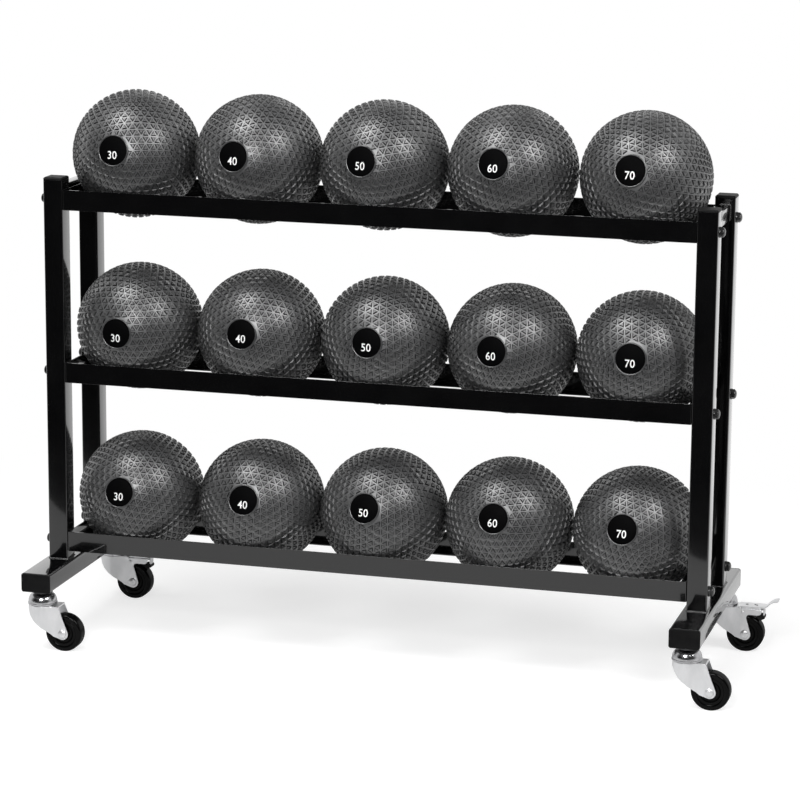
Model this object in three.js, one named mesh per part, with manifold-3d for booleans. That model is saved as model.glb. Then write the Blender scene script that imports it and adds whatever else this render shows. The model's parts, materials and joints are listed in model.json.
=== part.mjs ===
import * as THREE from 'three';
import { mergeVertices, toCreasedNormals } from 'three/addons/utils/BufferGeometryUtils.js';
import Module from 'manifold-3d';

const wasm = await Module();
wasm.setup();

// Sizes are in millimetres. X runs along the cart, Y from front to back and Z up from the floor.

// Balls
const ball_radius = 127.5;
const ball_gap = 1;
const balls_per_row = 5;
const label_radius = 28.5;
const label_rise = 0.8;
const label_depth = 9;
const row_play = 5.2;

// The rows differ a little in where the balls lie and how far the labels look up, in degrees
const rows = [
  { name: 'bottom', label_tilt: 16.5, shift: 0, last_shift: 0 },
  { name: 'middle', label_tilt: 10, shift: 0, last_shift: 0 },
  { name: 'top', label_tilt: 10.5, shift: -4, last_shift: 3.5 },
];

// Posts and their caps
const cart_depth = 228;
const post_width = 40;
const post_wall = 2;
const post_corner = 3;
const post_rise = 18.5;
const post_cap_height = 5;
const post_cap_bevel = 2.6;
const post_plug_length = 14;

// Trays of angle bar
const tray_height = 40;
const tray_leg = 35;
const tray_wall = 2.5;
const tray_corner = 3;
const tray_recess = 0.3;
const first_tray_rise = 17.5;
const tier_pitch = 346.5;

// Tubes across the ends
const cross_width = 22;
const cross_height = 30;
const cross_wall = 2;
const cross_corner = 2.5;
const cross_drop = 12;

// Feet and their caps
const foot_width = 60;
const foot_height = 38;
const foot_wall = 2.5;
const foot_corner = 4.5;
const foot_front_overhang = 124;
const foot_rear_overhang = 108;
const foot_cap_thickness = 4;
const foot_cap_bevel = 1.2;
const foot_plug_length = 10;
const plug_wall = 2;

// Bolts through post and tray
const bolt_radius = 5;
const washer_radius = 10.5;
const washer_thickness = 2;
const nut_across_flats = 17;
const nut_height = 5;
const nut_dome_height = 4;
const inner_nut_height = 7;
const bolt_end = 2;

// Wheels
const wheel_radius = 37.5;
const wheel_width = 27;
const tread_corner = 4;
const hub_radius = 21;
const hub_groove = 2.6;
const hub_recess = 2;
const boss_radius = 9;
const axle_radius = 4;
const axle_head_radius = 8.5;
const axle_head_height = 4.5;
const axle_nut_height = 6;
const axle_end = 2;

// Caster forks, whose X sizes are measured from the swivel axis and drops from the fork's top
const caster_front_inset = 38;
const stem_plug_gap = 2;
const wheel_trail = 47.5;
const wheel_side_gap = 3;
const wheel_headroom = 17.5;
const fork_sheet = 2.5;
const fork_round = 28;
const fork_crease_x = 6.5;
const fork_blend_x = 22;
const fork_tail_x = 38.7;
const fork_brow = 6;
const fork_shoulder_x = 22;
const fork_shoulder_drop = 22;
const fork_waist_x = 6;
const fork_waist_drop = 35;
const fork_tip_radius = 12;
const fork_toe_back = 19;
const fork_toe_drop = 6.5;
const fork_tip_start = 252;
const fork_tip_end = 372;

// Stems, collars and ball races
const stem_radius = 6;
const stem_insert = 12;
const stem_head_radius = 9;
const stem_head_height = 3;
const stem_head_taper = 1.5;
const collar_radius = 20.5;
const collar_height = 10;
const collar_bevel = 2;
const race_radius = 29.5;
const race_height = 20.4;
const race_rim = 4.5;
const race_wall = 2.5;
const race_top_radius = 19.5;
const race_hub_radius = 12;

// Arms of the rear forks that carry the brake, set out from the axle
const arm_overhang = 33.5;
const arm_drop = 2.5;
const arm_corner = 8;
const notch_offset = 2.5;
const notch_radius = 7;
const notch_drop = 14;
const pivot_inset = 3.8;
const pivot_drop = 10;
const pin_radius = 2.5;

// Brake levers
const lever_sheet = 2;
const lever_race_gap = 3;
const lever_overhang = 4;
const cheek_gap = 1.3;
const cheek_inset = 2;
const cheek_drop = 14;
const cheek_taper = 3;
const pedal_rise = 14;
const pedal_bend = 9;
const pedal_length = 27;
const pedal_waist = 12.5;
const pedal_half_width = 14;
const pedal_corner = 3;
const lever_hole_inset = 16;
const lever_hole_radius = 3.2;
const lever_slot_inset = 18;
const lever_slot_length = 10;
const lever_slot_width = 4.5;
const lever_slot_turn = -35;
const tongue_half_width = 9;
const tongue_drop = 22.5;

// Brake shoes, whose lower face stands off the tread
const shoe_gap = 2.9;
const shoe_angle = 51;
const shoe_half_length = 5.3;
const shoe_half_width = 11;
const shoe_top_drop = 8.5;
const shoe_heel_rise = 0.5;

// Clearances
const weld_gap = 0.3;
const plug_gap = 0.3;
const bore_gap = 0.3;
const seat_gap = 0.15;
const joint_gap = 0.5;
const overrun = 0.4;
const merge_distance = 0.0001;

// Fineness of the curved pieces, as counts
const ball_detail = 3;
const label_segments = 12;
const label_rings = 2;
const wheel_segments = 18;
const race_segments = 14;
const round_segments = 12;
const small_segments = 6;
const hexagon_sides = 6;
const bend_segments = 2;
const bevel_segments = 1;
const arc_segments = 5;
const dome_steps = 2;
const triangle_corners = 3;

const half_turn = Math.PI;
const quarter_turn = Math.PI / 2;
const degree = Math.PI / 180;
const crease_angle = 35 * degree;
const sides = [-1, 1];

// Sizes that follow from the ones above
const ball_pitch = 2 * ball_radius + ball_gap;
const tray_depth = cart_depth - 2 * tray_recess;
const lift_on_legs = liftOn(tray_wall, tray_depth / 2 - tray_leg);
const lift_on_rails = liftOn(tray_height, tray_depth / 2 - tray_wall);
const ball_lift = Math.max(lift_on_legs, lift_on_rails) + seat_gap;
const ball_reach = legOf(ball_radius, ball_lift - tray_height);
const tray_inner_length = ball_pitch * (balls_per_row - 1) + 2 * (ball_reach + row_play);
const tray_length = tray_inner_length + 2 * tray_wall;
const cart_length = tray_length + 2 * (weld_gap + post_width);
const fork_inner_half = wheel_width / 2 + wheel_side_gap;
const fork_half_width = fork_inner_half + fork_sheet;
const fork_top = 2 * wheel_radius + wheel_headroom;
const race_bottom = fork_top + joint_gap;
const race_top = race_bottom + race_height;
const collar_bottom = race_top + weld_gap;
const collar_top = collar_bottom + collar_height;
const foot_bottom = collar_top + weld_gap;
const foot_top = foot_bottom + foot_height;
const tray_bottoms = rows.map((row, tier) => foot_top + first_tray_rise + tier * tier_pitch);
const post_top = tray_bottoms[rows.length - 1] + tray_height + post_rise;
const post_bottom = foot_top + weld_gap;
const post_x = (cart_length - post_width) / 2;
const post_y = (cart_depth - post_width) / 2;
const foot_front = -cart_depth / 2 - foot_front_overhang;
const foot_rear = cart_depth / 2 + foot_rear_overhang;
const caster_front = foot_front + caster_front_inset;
const caster_rear = foot_rear - foot_cap_thickness - foot_plug_length - stem_plug_gap - stem_radius;
const arm_reach = wheel_trail + arm_overhang;
const notch_x = wheel_trail + notch_offset;
const pivot_x = fork_tail_x + pivot_inset;
const pivot_z = fork_top - pivot_drop;
const lever_half_width = fork_inner_half - joint_gap;
const lever_start_x = race_radius + lever_race_gap;
const lever_end_x = arm_reach + lever_overhang;
const lever_hole_x = lever_start_x + lever_hole_inset;
const lever_slot_x = lever_end_x - lever_slot_inset;
const cheek_start_x = fork_tail_x + cheek_gap;
const cheek_end_x = arm_reach - cheek_inset;
const pedal_bend_x = lever_end_x + pedal_bend;
const pedal_reach = lever_end_x + pedal_length;
const lever_bottom = fork_top + joint_gap;
const lever_top = lever_bottom + lever_sheet;
const tongue_x = lever_end_x - lever_sheet - joint_gap;

const looks = {
  frame: { color: 0x16171a, roughness: 0.22, metalness: 0.3 },
  plug: { color: 0x1c1c1e, roughness: 0.5, metalness: 0 },
  chrome: { color: 0xc9ccd0, roughness: 0.16, metalness: 0.95 },
  zinc: { color: 0xb9bcc0, roughness: 0.38, metalness: 0.8 },
  collar: { color: 0x3a3b3e, roughness: 0.4, metalness: 0.8 },
  wheel: { color: 0x1a1b1d, roughness: 0.62, metalness: 0 },
  shoe: { color: 0x111112, roughness: 0.75, metalness: 0 },
  ball: { color: 0x333537, roughness: 0.55, metalness: 0 },
};

// The other short side of a right-angled triangle
function legOf(long_side, short_side) {
  return Math.sqrt(long_side * long_side - short_side * short_side);
}

// Height of a ball's centre on two edges, or none where the ball passes between them
function liftOn(edge_height, half_gap) {
  return half_gap < ball_radius ? edge_height + legOf(ball_radius, half_gap) : 0;
}

// Closed solid from a geometry, with its faces turned outward
function solidOf(geometry) {
  const bare = geometry.clone();
  bare.deleteAttribute('normal');
  bare.deleteAttribute('uv');
  const merged = mergeVertices(bare, merge_distance);
  const place = merged.attributes.position;
  const corners = merged.index.array;
  const faces = [];
  let volume = 0;
  for (let start = 0; start < corners.length; start += triangle_corners) {
    const face = Array.from(corners.slice(start, start + triangle_corners));
    if (new Set(face).size === triangle_corners) {
      const [near, middle, far] = face.map((corner) => new THREE.Vector3().fromBufferAttribute(place, corner));
      volume += near.dot(middle.cross(far));
      faces.push(face);
    }
  }
  if (volume < 0) {
    faces.forEach((face) => face.reverse());
  }
  return new wasm.Manifold(new wasm.Mesh({
    numProp: triangle_corners,
    vertProperties: new Float32Array(place.array),
    triVerts: new Uint32Array(faces.flat()),
  }));
}

function joined(geometries) {
  return geometries.map(solidOf).reduce((whole, solid) => whole.add(solid));
}

function cut(solid, geometries) {
  return geometries.map(solidOf).reduce((whole, tool) => whole.subtract(tool), solid);
}

function piece(name, solid, look) {
  const data = solid.getMesh();
  const positions = new THREE.BufferAttribute(new Float32Array(data.vertProperties), triangle_corners);
  const geometry = new THREE.BufferGeometry().setAttribute('position', positions);
  geometry.setIndex(new THREE.BufferAttribute(new Uint32Array(data.triVerts), 1));
  const material = new THREE.MeshStandardMaterial(looks[look]);
  const mesh = new THREE.Mesh(toCreasedNormals(geometry, crease_angle), material);
  mesh.name = name;
  return mesh;
}

function roundedRectangle(width, height, radius) {
  const shape = new THREE.Shape();
  const x = width / 2 - radius;
  const y = height / 2 - radius;
  shape.absarc(x, y, radius, 0, quarter_turn);
  shape.absarc(-x, y, radius, quarter_turn, half_turn);
  shape.absarc(-x, -y, radius, half_turn, half_turn + quarter_turn);
  shape.absarc(x, -y, radius, half_turn + quarter_turn, 2 * half_turn);
  return shape;
}

function prism(shape, from, to, segments = bend_segments) {
  const settings = { depth: to - from, bevelEnabled: false, curveSegments: segments };
  return new THREE.ExtrudeGeometry(shape, settings).translate(0, 0, from);
}

// An outline in X and Z, pushed through a width in Y
function slab(shape, from, to) {
  return prism(shape, -to, -from, arc_segments).rotateX(quarter_turn);
}

// Square or oblong tube that stands on z = 0
function tube(width, height, corner, wall, length) {
  const outline = roundedRectangle(width, height, corner);
  outline.holes.push(roundedRectangle(width - 2 * wall, height - 2 * wall, corner - wall));
  return prism(outline, 0, length);
}

// Solid turned about the vertical, from pairs of radius and height
function turned(profile, segments) {
  const points = profile.map(([radius, height]) => new THREE.Vector2(radius, height));
  return new THREE.LatheGeometry(points, segments).rotateX(quarter_turn);
}

function rod(radius, from, to, segments = small_segments) {
  return turned([[0, from], [radius, from], [radius, to], [0, to]], segments);
}

// Tool for a bore that clears a rod of the given radius, also at the flats of its facets
function bore(radius, from, to) {
  return rod((radius + bore_gap) / Math.cos(half_turn / small_segments), from, to);
}

// Turns a rod or bore so that it runs from front to back through the point x, z
function across(geometry, x, z) {
  return geometry.rotateX(quarter_turn).translate(x, 0, z);
}

// Box about the Z axis
function block(width, depth, from, to) {
  return new THREE.BoxGeometry(width, depth, to - from).translate(0, 0, (from + to) / 2);
}

// Profile points of a dome that closes on the axis
function domeProfile(radius, foot, height) {
  const points = [];
  for (let step = 0; step <= dome_steps; step += 1) {
    const turn = quarter_turn * step / dome_steps;
    points.push([Math.max(radius * Math.cos(turn), 0), foot + height * Math.sin(turn)]);
  }
  return points;
}

// Cap for a tube end: a crown with rounded edges over a hollow plug
function tubeCap(width, height, corner, bevel, thickness, wall, plug_length) {
  const settings = {
    depth: thickness - bevel,
    bevelThickness: bevel,
    bevelSize: bevel,
    bevelSegments: bevel_segments,
    curveSegments: bend_segments,
  };
  const top_corner = Math.max(corner - bevel, plug_gap);
  const top = roundedRectangle(width - 2 * bevel, height - 2 * bevel, top_corner);
  const crown = new THREE.ExtrudeGeometry(top, settings);
  const below = prism(roundedRectangle(2 * width, 2 * height, corner), -2 * bevel, 0);
  const insert_width = width - 2 * (wall + plug_gap);
  const insert_height = height - 2 * (wall + plug_gap);
  const insert_outline = roundedRectangle(insert_width, insert_height, corner - wall);
  const insert = prism(insert_outline, -plug_length, overrun);
  const pocket_width = insert_width - 2 * plug_wall;
  const pocket_height = insert_height - 2 * plug_wall;
  const pocket = block(pocket_width, pocket_height, -plug_length - overrun, -plug_wall);
  return cut(cut(solidOf(crown), [below]).add(solidOf(insert)), [pocket]);
}

// Foot tube along Y, with a hole for each stem in its lower wall
function foot() {
  const inset = foot_cap_thickness + plug_gap;
  const length = foot_rear - foot_front - 2 * inset;
  const body = tube(foot_width, foot_height, foot_corner, foot_wall, length);
  body.rotateX(quarter_turn).translate(0, foot_rear - inset, foot_bottom + foot_height / 2);
  const holes = [caster_front, caster_rear].map((y) => {
    return bore(stem_radius, foot_bottom - overrun, foot_bottom + foot_wall + overrun).translate(0, y, 0);
  });
  return cut(solidOf(body), holes);
}

// Bolt through a post and the tray's end: washer and domed nut outside, plain nut inside
function bolt() {
  const washer_end = post_width / 2 + washer_thickness;
  const nut_end = washer_end + nut_height;
  const inner_face = -post_width / 2 - weld_gap - tray_wall - plug_gap;
  const inner_end = inner_face - inner_nut_height;
  const corner_radius = nut_across_flats / 2 / Math.cos(half_turn / hexagon_sides);
  const dome = domeProfile(corner_radius, nut_end, nut_dome_height);
  return [
    rod(bolt_radius, inner_end - bolt_end, washer_end),
    rod(washer_radius, post_width / 2 - overrun, washer_end, round_segments),
    turned([[0, washer_end - overrun], [corner_radius, washer_end - overrun], ...dome], hexagon_sides),
    rod(corner_radius, inner_end, inner_face, hexagon_sides),
  ];
}

// Post with its three bolts
function post(side) {
  const body = tube(post_width, post_width, post_corner, post_wall, post_top - post_bottom);
  const bolts = tray_bottoms.flatMap((bottom) => {
    const height = bottom + tray_height / 2 - post_bottom;
    return bolt().map((part) => part.rotateY(side * quarter_turn).translate(0, 0, height));
  });
  return joined([body, ...bolts]);
}

function crossTube() {
  const length = cart_depth - 2 * (post_width + weld_gap);
  const body = tube(cross_width, cross_height, cross_corner, cross_wall, length);
  return solidOf(body.rotateX(quarter_turn).translate(0, length / 2, 0));
}

// Tray: a rectangle of angle bar, open in the middle, with holes for the bolts
function tray() {
  const outer = roundedRectangle(tray_length, tray_depth, tray_corner);
  const inner = roundedRectangle(tray_length - 2 * tray_wall, tray_depth - 2 * tray_wall, tray_corner / 2);
  const opening = roundedRectangle(tray_length - 2 * tray_leg, tray_depth - 2 * tray_leg, tray_corner);
  const holes = sides.map((end) => {
    const hole = bore(bolt_radius, -tray_length, tray_length).rotateY(quarter_turn);
    return hole.translate(0, end * post_y, tray_height / 2);
  });
  return cut(solidOf(prism(outer, 0, tray_height)), [
    prism(inner, tray_wall, tray_height + overrun),
    prism(opening, -overrun, tray_wall + overrun),
    ...holes,
  ]);
}

// Ball with a raised round label on its front
function ball(label_tilt) {
  const golden_ratio = (1 + Math.sqrt(5)) / 2;
  const sphere = new THREE.IcosahedronGeometry(ball_radius, ball_detail).rotateX(Math.atan(1 / golden_ratio));
  const outer = ball_radius + label_rise;
  const edge_turn = Math.asin(label_radius / outer);
  const profile = [[0, outer - label_depth], [label_radius, outer - label_depth]];
  for (let ring = label_rings; ring >= 0; ring -= 1) {
    const turn = edge_turn * ring / label_rings;
    profile.push([outer * Math.sin(turn), outer * Math.cos(turn)]);
  }
  const label = turned(profile, label_segments).rotateX(quarter_turn - label_tilt * degree);
  return joined([sphere, label]);
}

// Stem with the dark collar under the foot and the riveted head under the fork plate
function stem() {
  const head_top = fork_top - fork_sheet - joint_gap;
  const stem_top = foot_bottom + foot_wall + stem_insert;
  return solidOf(turned([
    [0, head_top - stem_head_height],
    [stem_head_radius - stem_head_taper, head_top - stem_head_height],
    [stem_head_radius, head_top],
    [stem_radius, head_top],
    [stem_radius, collar_bottom],
    [collar_radius - collar_bevel, collar_bottom],
    [collar_radius, collar_bottom + collar_bevel],
    [collar_radius, collar_top - collar_bevel],
    [collar_radius - collar_bevel, collar_top],
    [stem_radius, collar_top],
    [stem_radius, stem_top],
    [0, stem_top],
  ], round_segments));
}

// Ball race: a domed cup over an inner hub
function race() {
  const bore_radius = stem_radius + bore_gap;
  const skirt = race_bottom + overrun;
  const rim = skirt + race_rim;
  const profile = [
    [bore_radius, race_bottom],
    [race_hub_radius, race_bottom],
    [race_hub_radius, race_top - race_wall],
    [race_top_radius - race_wall, race_top - race_wall],
    [race_radius - race_wall, rim],
    [race_radius - race_wall, skirt],
    [race_radius, skirt],
  ];
  const bulge = domeProfile(race_radius - race_top_radius, rim, race_top - rim);
  bulge.forEach(([radius, height]) => profile.push([race_top_radius + radius, height]));
  profile.push([bore_radius, race_top], [bore_radius, race_bottom]);
  return solidOf(turned(profile, race_segments));
}

// Plan of a fork: round about the stem, creased, then straight beside the wheel
function forkPlan(round, half_width, crease_x, tail) {
  const crease_y = legOf(round, crease_x);
  const turn = Math.atan2(crease_y, crease_x);
  const shape = new THREE.Shape();
  shape.moveTo(fork_blend_x, -half_width);
  shape.lineTo(tail, -half_width);
  shape.lineTo(tail, half_width);
  shape.lineTo(fork_blend_x, half_width);
  shape.lineTo(crease_x, crease_y);
  shape.absarc(0, 0, round, turn, 2 * half_turn - turn);
  return shape;
}

// Side outline of a fork, from the brow down to the round tip about the axle and up the back
function forkSide(braked) {
  const shape = new THREE.Shape();
  const tip_start = fork_tip_start * degree;
  const waist_z = fork_top - fork_waist_drop;
  shape.moveTo(-fork_round - overrun, fork_top + overrun);
  shape.lineTo(-fork_round - overrun, fork_top - fork_brow);
  shape.quadraticCurveTo(-fork_shoulder_x, fork_top - fork_shoulder_drop, -fork_waist_x, waist_z);
  shape.lineTo(wheel_trail - fork_toe_back, wheel_radius - fork_toe_drop);
  shape.absarc(wheel_trail, wheel_radius, fork_tip_radius, tip_start, fork_tip_end * degree);
  if (braked) {
    const notch_top = fork_top - notch_drop;
    shape.lineTo(notch_x, notch_top - notch_radius);
    shape.quadraticCurveTo(notch_x, notch_top, notch_x + notch_radius, notch_top);
    shape.lineTo(arm_reach - arm_corner, notch_top);
    shape.quadraticCurveTo(arm_reach, notch_top, arm_reach, fork_top - arm_drop);
    shape.lineTo(fork_tail_x, fork_top - arm_drop);
  }
  shape.lineTo(fork_tail_x, fork_top + overrun);
  return shape;
}

// Pressed fork: the plan cut to the side outline, hollowed to the sheet and open at the back
function fork(braked) {
  const tail = braked ? arm_reach : wheel_trail + fork_round;
  const outer = forkPlan(fork_round, fork_half_width, fork_crease_x, tail);
  const inner = forkPlan(fork_round - fork_sheet, fork_inner_half, fork_crease_x, 2 * tail);
  const blank = solidOf(prism(outer, 0, fork_top, arc_segments));
  const body = blank.intersect(solidOf(slab(forkSide(braked), -fork_round - overrun, fork_round + overrun)));
  const tools = [
    prism(inner, -overrun, fork_top - fork_sheet, arc_segments),
    bore(stem_radius, fork_top - 2 * fork_sheet, fork_top + overrun),
    across(bore(axle_radius, -fork_round, fork_round), wheel_trail, wheel_radius),
  ];
  if (braked) {
    const gap_length = arm_reach - fork_tail_x + 2 * overrun;
    const arm_gap = block(gap_length, 2 * fork_inner_half, fork_top - 2 * notch_drop, fork_top + overrun);
    tools.push(
      across(bore(pin_radius, -fork_round, fork_round), pivot_x, pivot_z),
      arm_gap.translate(fork_tail_x + gap_length / 2, 0, 0),
    );
  }
  return cut(body, tools);
}

// Wheel: boss, recessed hub face, ring groove and a tyre with rounded shoulders
function wheel() {
  const half = wheel_width / 2;
  const boss_half = fork_inner_half - joint_gap;
  const hub_face = half - hub_recess;
  const groove_radius = hub_radius - hub_groove;
  const bore_radius = axle_radius + bore_gap;
  const side = [
    [bore_radius, boss_half],
    [boss_radius, boss_half],
    [boss_radius, hub_face],
    [groove_radius, hub_face],
    [hub_radius, half],
  ];
  domeProfile(tread_corner, 0, tread_corner).reverse().forEach(([along, outward]) => {
    side.push([wheel_radius - tread_corner + along, half - tread_corner + outward]);
  });
  const other_side = side.map(([radius, width]) => [radius, -width]).reverse();
  const body = turned([...side, ...other_side, [bore_radius, boss_half]], wheel_segments);
  return solidOf(body.rotateX(quarter_turn));
}

// Axle bolt with a domed head in front and a nut behind
function axle() {
  const face = fork_half_width + bore_gap;
  const nut_end = face + axle_nut_height;
  const parts = [
    rod(axle_radius, -nut_end - axle_end, face + overrun),
    rod(axle_head_radius, -nut_end, -face, hexagon_sides),
    turned([
      [0, face],
      [axle_head_radius, face],
      ...domeProfile(axle_head_radius, face + axle_head_height / 2, axle_head_height / 2),
    ], round_segments),
  ];
  return joined(parts.map((part) => part.rotateX(quarter_turn)));
}

// Side outline of the lever's sheet, flat over the wheel and swept up to the pedal
function leverSide() {
  const shape = new THREE.Shape();
  const lead = lever_end_x - lever_sheet / 2;
  const bend = pedal_bend_x - lever_sheet / 2;
  shape.moveTo(lever_start_x, lever_top);
  shape.lineTo(lever_start_x, lever_bottom);
  shape.lineTo(lever_end_x, lever_bottom);
  shape.bezierCurveTo(
    pedal_bend_x, lever_bottom,
    pedal_bend_x, lever_bottom + pedal_rise,
    pedal_reach, lever_bottom + pedal_rise,
  );
  shape.lineTo(pedal_reach, lever_top + pedal_rise);
  shape.bezierCurveTo(bend, lever_top + pedal_rise, bend, lever_top, lead, lever_top);
  return shape;
}

// Plan of the lever: straight over the wheel, narrow at the neck, wider again at the pedal
function leverPlan() {
  const shape = new THREE.Shape();
  const neck_x = (lever_end_x + pedal_bend_x) / 2;
  const tip_x = pedal_reach - pedal_corner;
  const tip_y = pedal_half_width - pedal_corner;
  shape.moveTo(lever_start_x, -lever_half_width);
  shape.lineTo(lever_end_x - lever_sheet, -lever_half_width);
  shape.quadraticCurveTo(lever_end_x, -pedal_waist, neck_x, -pedal_waist);
  shape.lineTo(tip_x, -pedal_half_width);
  shape.quadraticCurveTo(pedal_reach, -pedal_half_width, pedal_reach, -tip_y);
  shape.lineTo(pedal_reach, tip_y);
  shape.quadraticCurveTo(pedal_reach, pedal_half_width, tip_x, pedal_half_width);
  shape.lineTo(neck_x, pedal_waist);
  shape.quadraticCurveTo(lever_end_x, pedal_waist, lever_end_x - lever_sheet, lever_half_width);
  shape.lineTo(lever_start_x, lever_half_width);
  return shape;
}

// Brake lever: sheet with hole and slot, two cheeks on the pivot pin and a tongue for the shoe
function lever() {
  const ceiling = lever_top + 2 * pedal_rise;
  const sheet = solidOf(slab(leverSide(), -lever_half_width, lever_half_width));
  const trimmed = sheet.intersect(solidOf(prism(leverPlan(), 0, ceiling, arc_segments)));
  const slot_corner = lever_slot_width / 2 - merge_distance;
  const slot_outline = roundedRectangle(lever_slot_length, lever_slot_width, slot_corner);
  const slot = prism(slot_outline, fork_top, ceiling);
  const hole = rod(lever_hole_radius, fork_top, ceiling).translate(lever_hole_x, 0, 0);
  slot.rotateZ(lever_slot_turn * degree).translate(lever_slot_x, 0, 0);
  const cheek = new THREE.Shape();
  cheek.moveTo(cheek_start_x, lever_bottom + overrun);
  cheek.lineTo(cheek_start_x, fork_top - cheek_drop);
  cheek.lineTo(cheek_end_x - cheek_taper, fork_top - cheek_drop);
  cheek.lineTo(cheek_end_x, lever_bottom + overrun);
  const inner_face = lever_half_width - lever_sheet;
  const pin_half = fork_half_width + joint_gap;
  const tongue = block(lever_sheet, 2 * tongue_half_width, fork_top - tongue_drop, lever_bottom + overrun);
  const parts = [
    slab(cheek, inner_face, lever_half_width),
    slab(cheek, -lever_half_width, -inner_face),
    across(rod(pin_radius, -pin_half, pin_half), pivot_x, pivot_z),
    tongue.translate(tongue_x + lever_sheet / 2, 0, 0),
  ];
  return cut(trimmed, [hole, slot]).add(joined(parts));
}

// Brake shoe: a block on the tongue whose slanted lower face looks at the tread
function shoe() {
  const radial = new THREE.Vector2(Math.cos(shoe_angle * degree), Math.sin(shoe_angle * degree));
  const along = new THREE.Vector2(radial.y, -radial.x).multiplyScalar(shoe_half_length);
  const face_middle = radial.multiplyScalar(wheel_radius + shoe_gap);
  face_middle.add(new THREE.Vector2(wheel_trail, wheel_radius));
  const lower = face_middle.clone().add(along);
  const upper = face_middle.clone().sub(along);
  const back = tongue_x - plug_gap;
  const shoe_top = fork_top - shoe_top_drop;
  const shape = new THREE.Shape();
  shape.moveTo(back, shoe_top);
  shape.lineTo(upper.x, shoe_top);
  shape.lineTo(upper.x, upper.y);
  shape.lineTo(lower.x, lower.y);
  shape.lineTo(back, fork_top - tongue_drop + shoe_heel_rise);
  return solidOf(slab(shape, -shoe_half_width, shoe_half_width));
}

// One caster, about its swivel axis
function caster(corner, braked) {
  const group = new THREE.Group();
  const wheel_mesh = piece(`caster_wheel_${corner}`, wheel(), 'wheel');
  const axle_mesh = piece(`caster_axle_${corner}`, axle(), 'zinc');
  wheel_mesh.position.set(wheel_trail, 0, wheel_radius);
  axle_mesh.position.set(wheel_trail, 0, wheel_radius);
  group.add(
    piece(`caster_stem_${corner}`, stem(), 'collar'),
    piece(`caster_race_${corner}`, race(), 'chrome'),
    piece(`caster_fork_${corner}`, fork(braked), 'zinc'),
    wheel_mesh,
    axle_mesh,
  );
  if (braked) {
    group.add(piece(`brake_lever_${corner}`, lever(), 'zinc'));
    group.add(piece(`brake_shoe_${corner}`, shoe(), 'shoe'));
  }
  return group;
}

// One end frame: foot with its caps and casters, two posts with their caps, and the tube between them
function endFrame(side, side_name) {
  const group = new THREE.Group();
  const cross_mesh = piece(`cross_tube_${side_name}`, crossTube(), 'frame');
  cross_mesh.position.z = post_top - cross_drop - cross_height / 2;
  group.add(piece(`foot_${side_name}`, foot(), 'frame'), cross_mesh);
  sides.forEach((end) => {
    const corner = `${side_name}_${end < 0 ? 'front' : 'rear'}`;
    const post_mesh = piece(`post_${corner}`, post(side), 'frame');
    const post_crown = tubeCap(
      post_width, post_width, post_corner, post_cap_bevel, post_cap_height, post_wall, post_plug_length,
    );
    const cap_mesh = piece(`post_cap_${corner}`, post_crown, 'plug');
    const foot_crown = tubeCap(
      foot_width, foot_height, foot_corner, foot_cap_bevel, foot_cap_thickness, foot_wall, foot_plug_length,
    );
    const foot_cap_mesh = piece(`foot_cap_${corner}`, foot_crown, 'plug');
    const foot_end = end < 0 ? foot_front + foot_cap_thickness : foot_rear - foot_cap_thickness;
    const caster_group = caster(corner, end > 0);
    post_mesh.position.set(0, end * post_y, post_bottom);
    cap_mesh.position.set(0, end * post_y, post_top + plug_gap);
    foot_cap_mesh.rotation.x = -end * quarter_turn;
    foot_cap_mesh.position.set(0, foot_end, foot_bottom + foot_height / 2);
    caster_group.position.y = end < 0 ? caster_front : caster_rear;
    group.add(post_mesh, cap_mesh, foot_cap_mesh, caster_group);
  });
  group.position.x = side * post_x;
  return group;
}

// One tier: the tray and its row of balls
function tier(row) {
  const group = new THREE.Group();
  group.add(piece(`tray_${row.name}`, tray(), 'frame'));
  for (let place = 1; place <= balls_per_row; place += 1) {
    const mesh = piece(`ball_${row.name}_${place}`, ball(row.label_tilt), 'ball');
    const from_middle = place - (balls_per_row + 1) / 2;
    const extra = place === balls_per_row ? row.last_shift : 0;
    mesh.position.set(from_middle * ball_pitch + row.shift + extra, 0, ball_lift);
    group.add(mesh);
  }
  return group;
}

const cart = new THREE.Group();
cart.add(endFrame(-1, 'left'), endFrame(1, 'right'));
rows.forEach((row, index) => {
  const group = tier(row);
  group.position.z = tray_bottoms[index];
  cart.add(group);
});

// The origin lies on the floor under the middle of the cart's overall box
const overall = new THREE.Box3().setFromObject(cart);
const middle = overall.getCenter(new THREE.Vector3());
cart.position.set(-middle.x, -middle.y, -overall.min.z);

export default cart;
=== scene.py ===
import json
import math
from itertools import combinations
from typing import NamedTuple

import bmesh
import bpy
from bpy.props import FloatProperty, FloatVectorProperty, IntProperty, PointerProperty
from mathutils import Euler, Matrix, Vector

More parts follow.
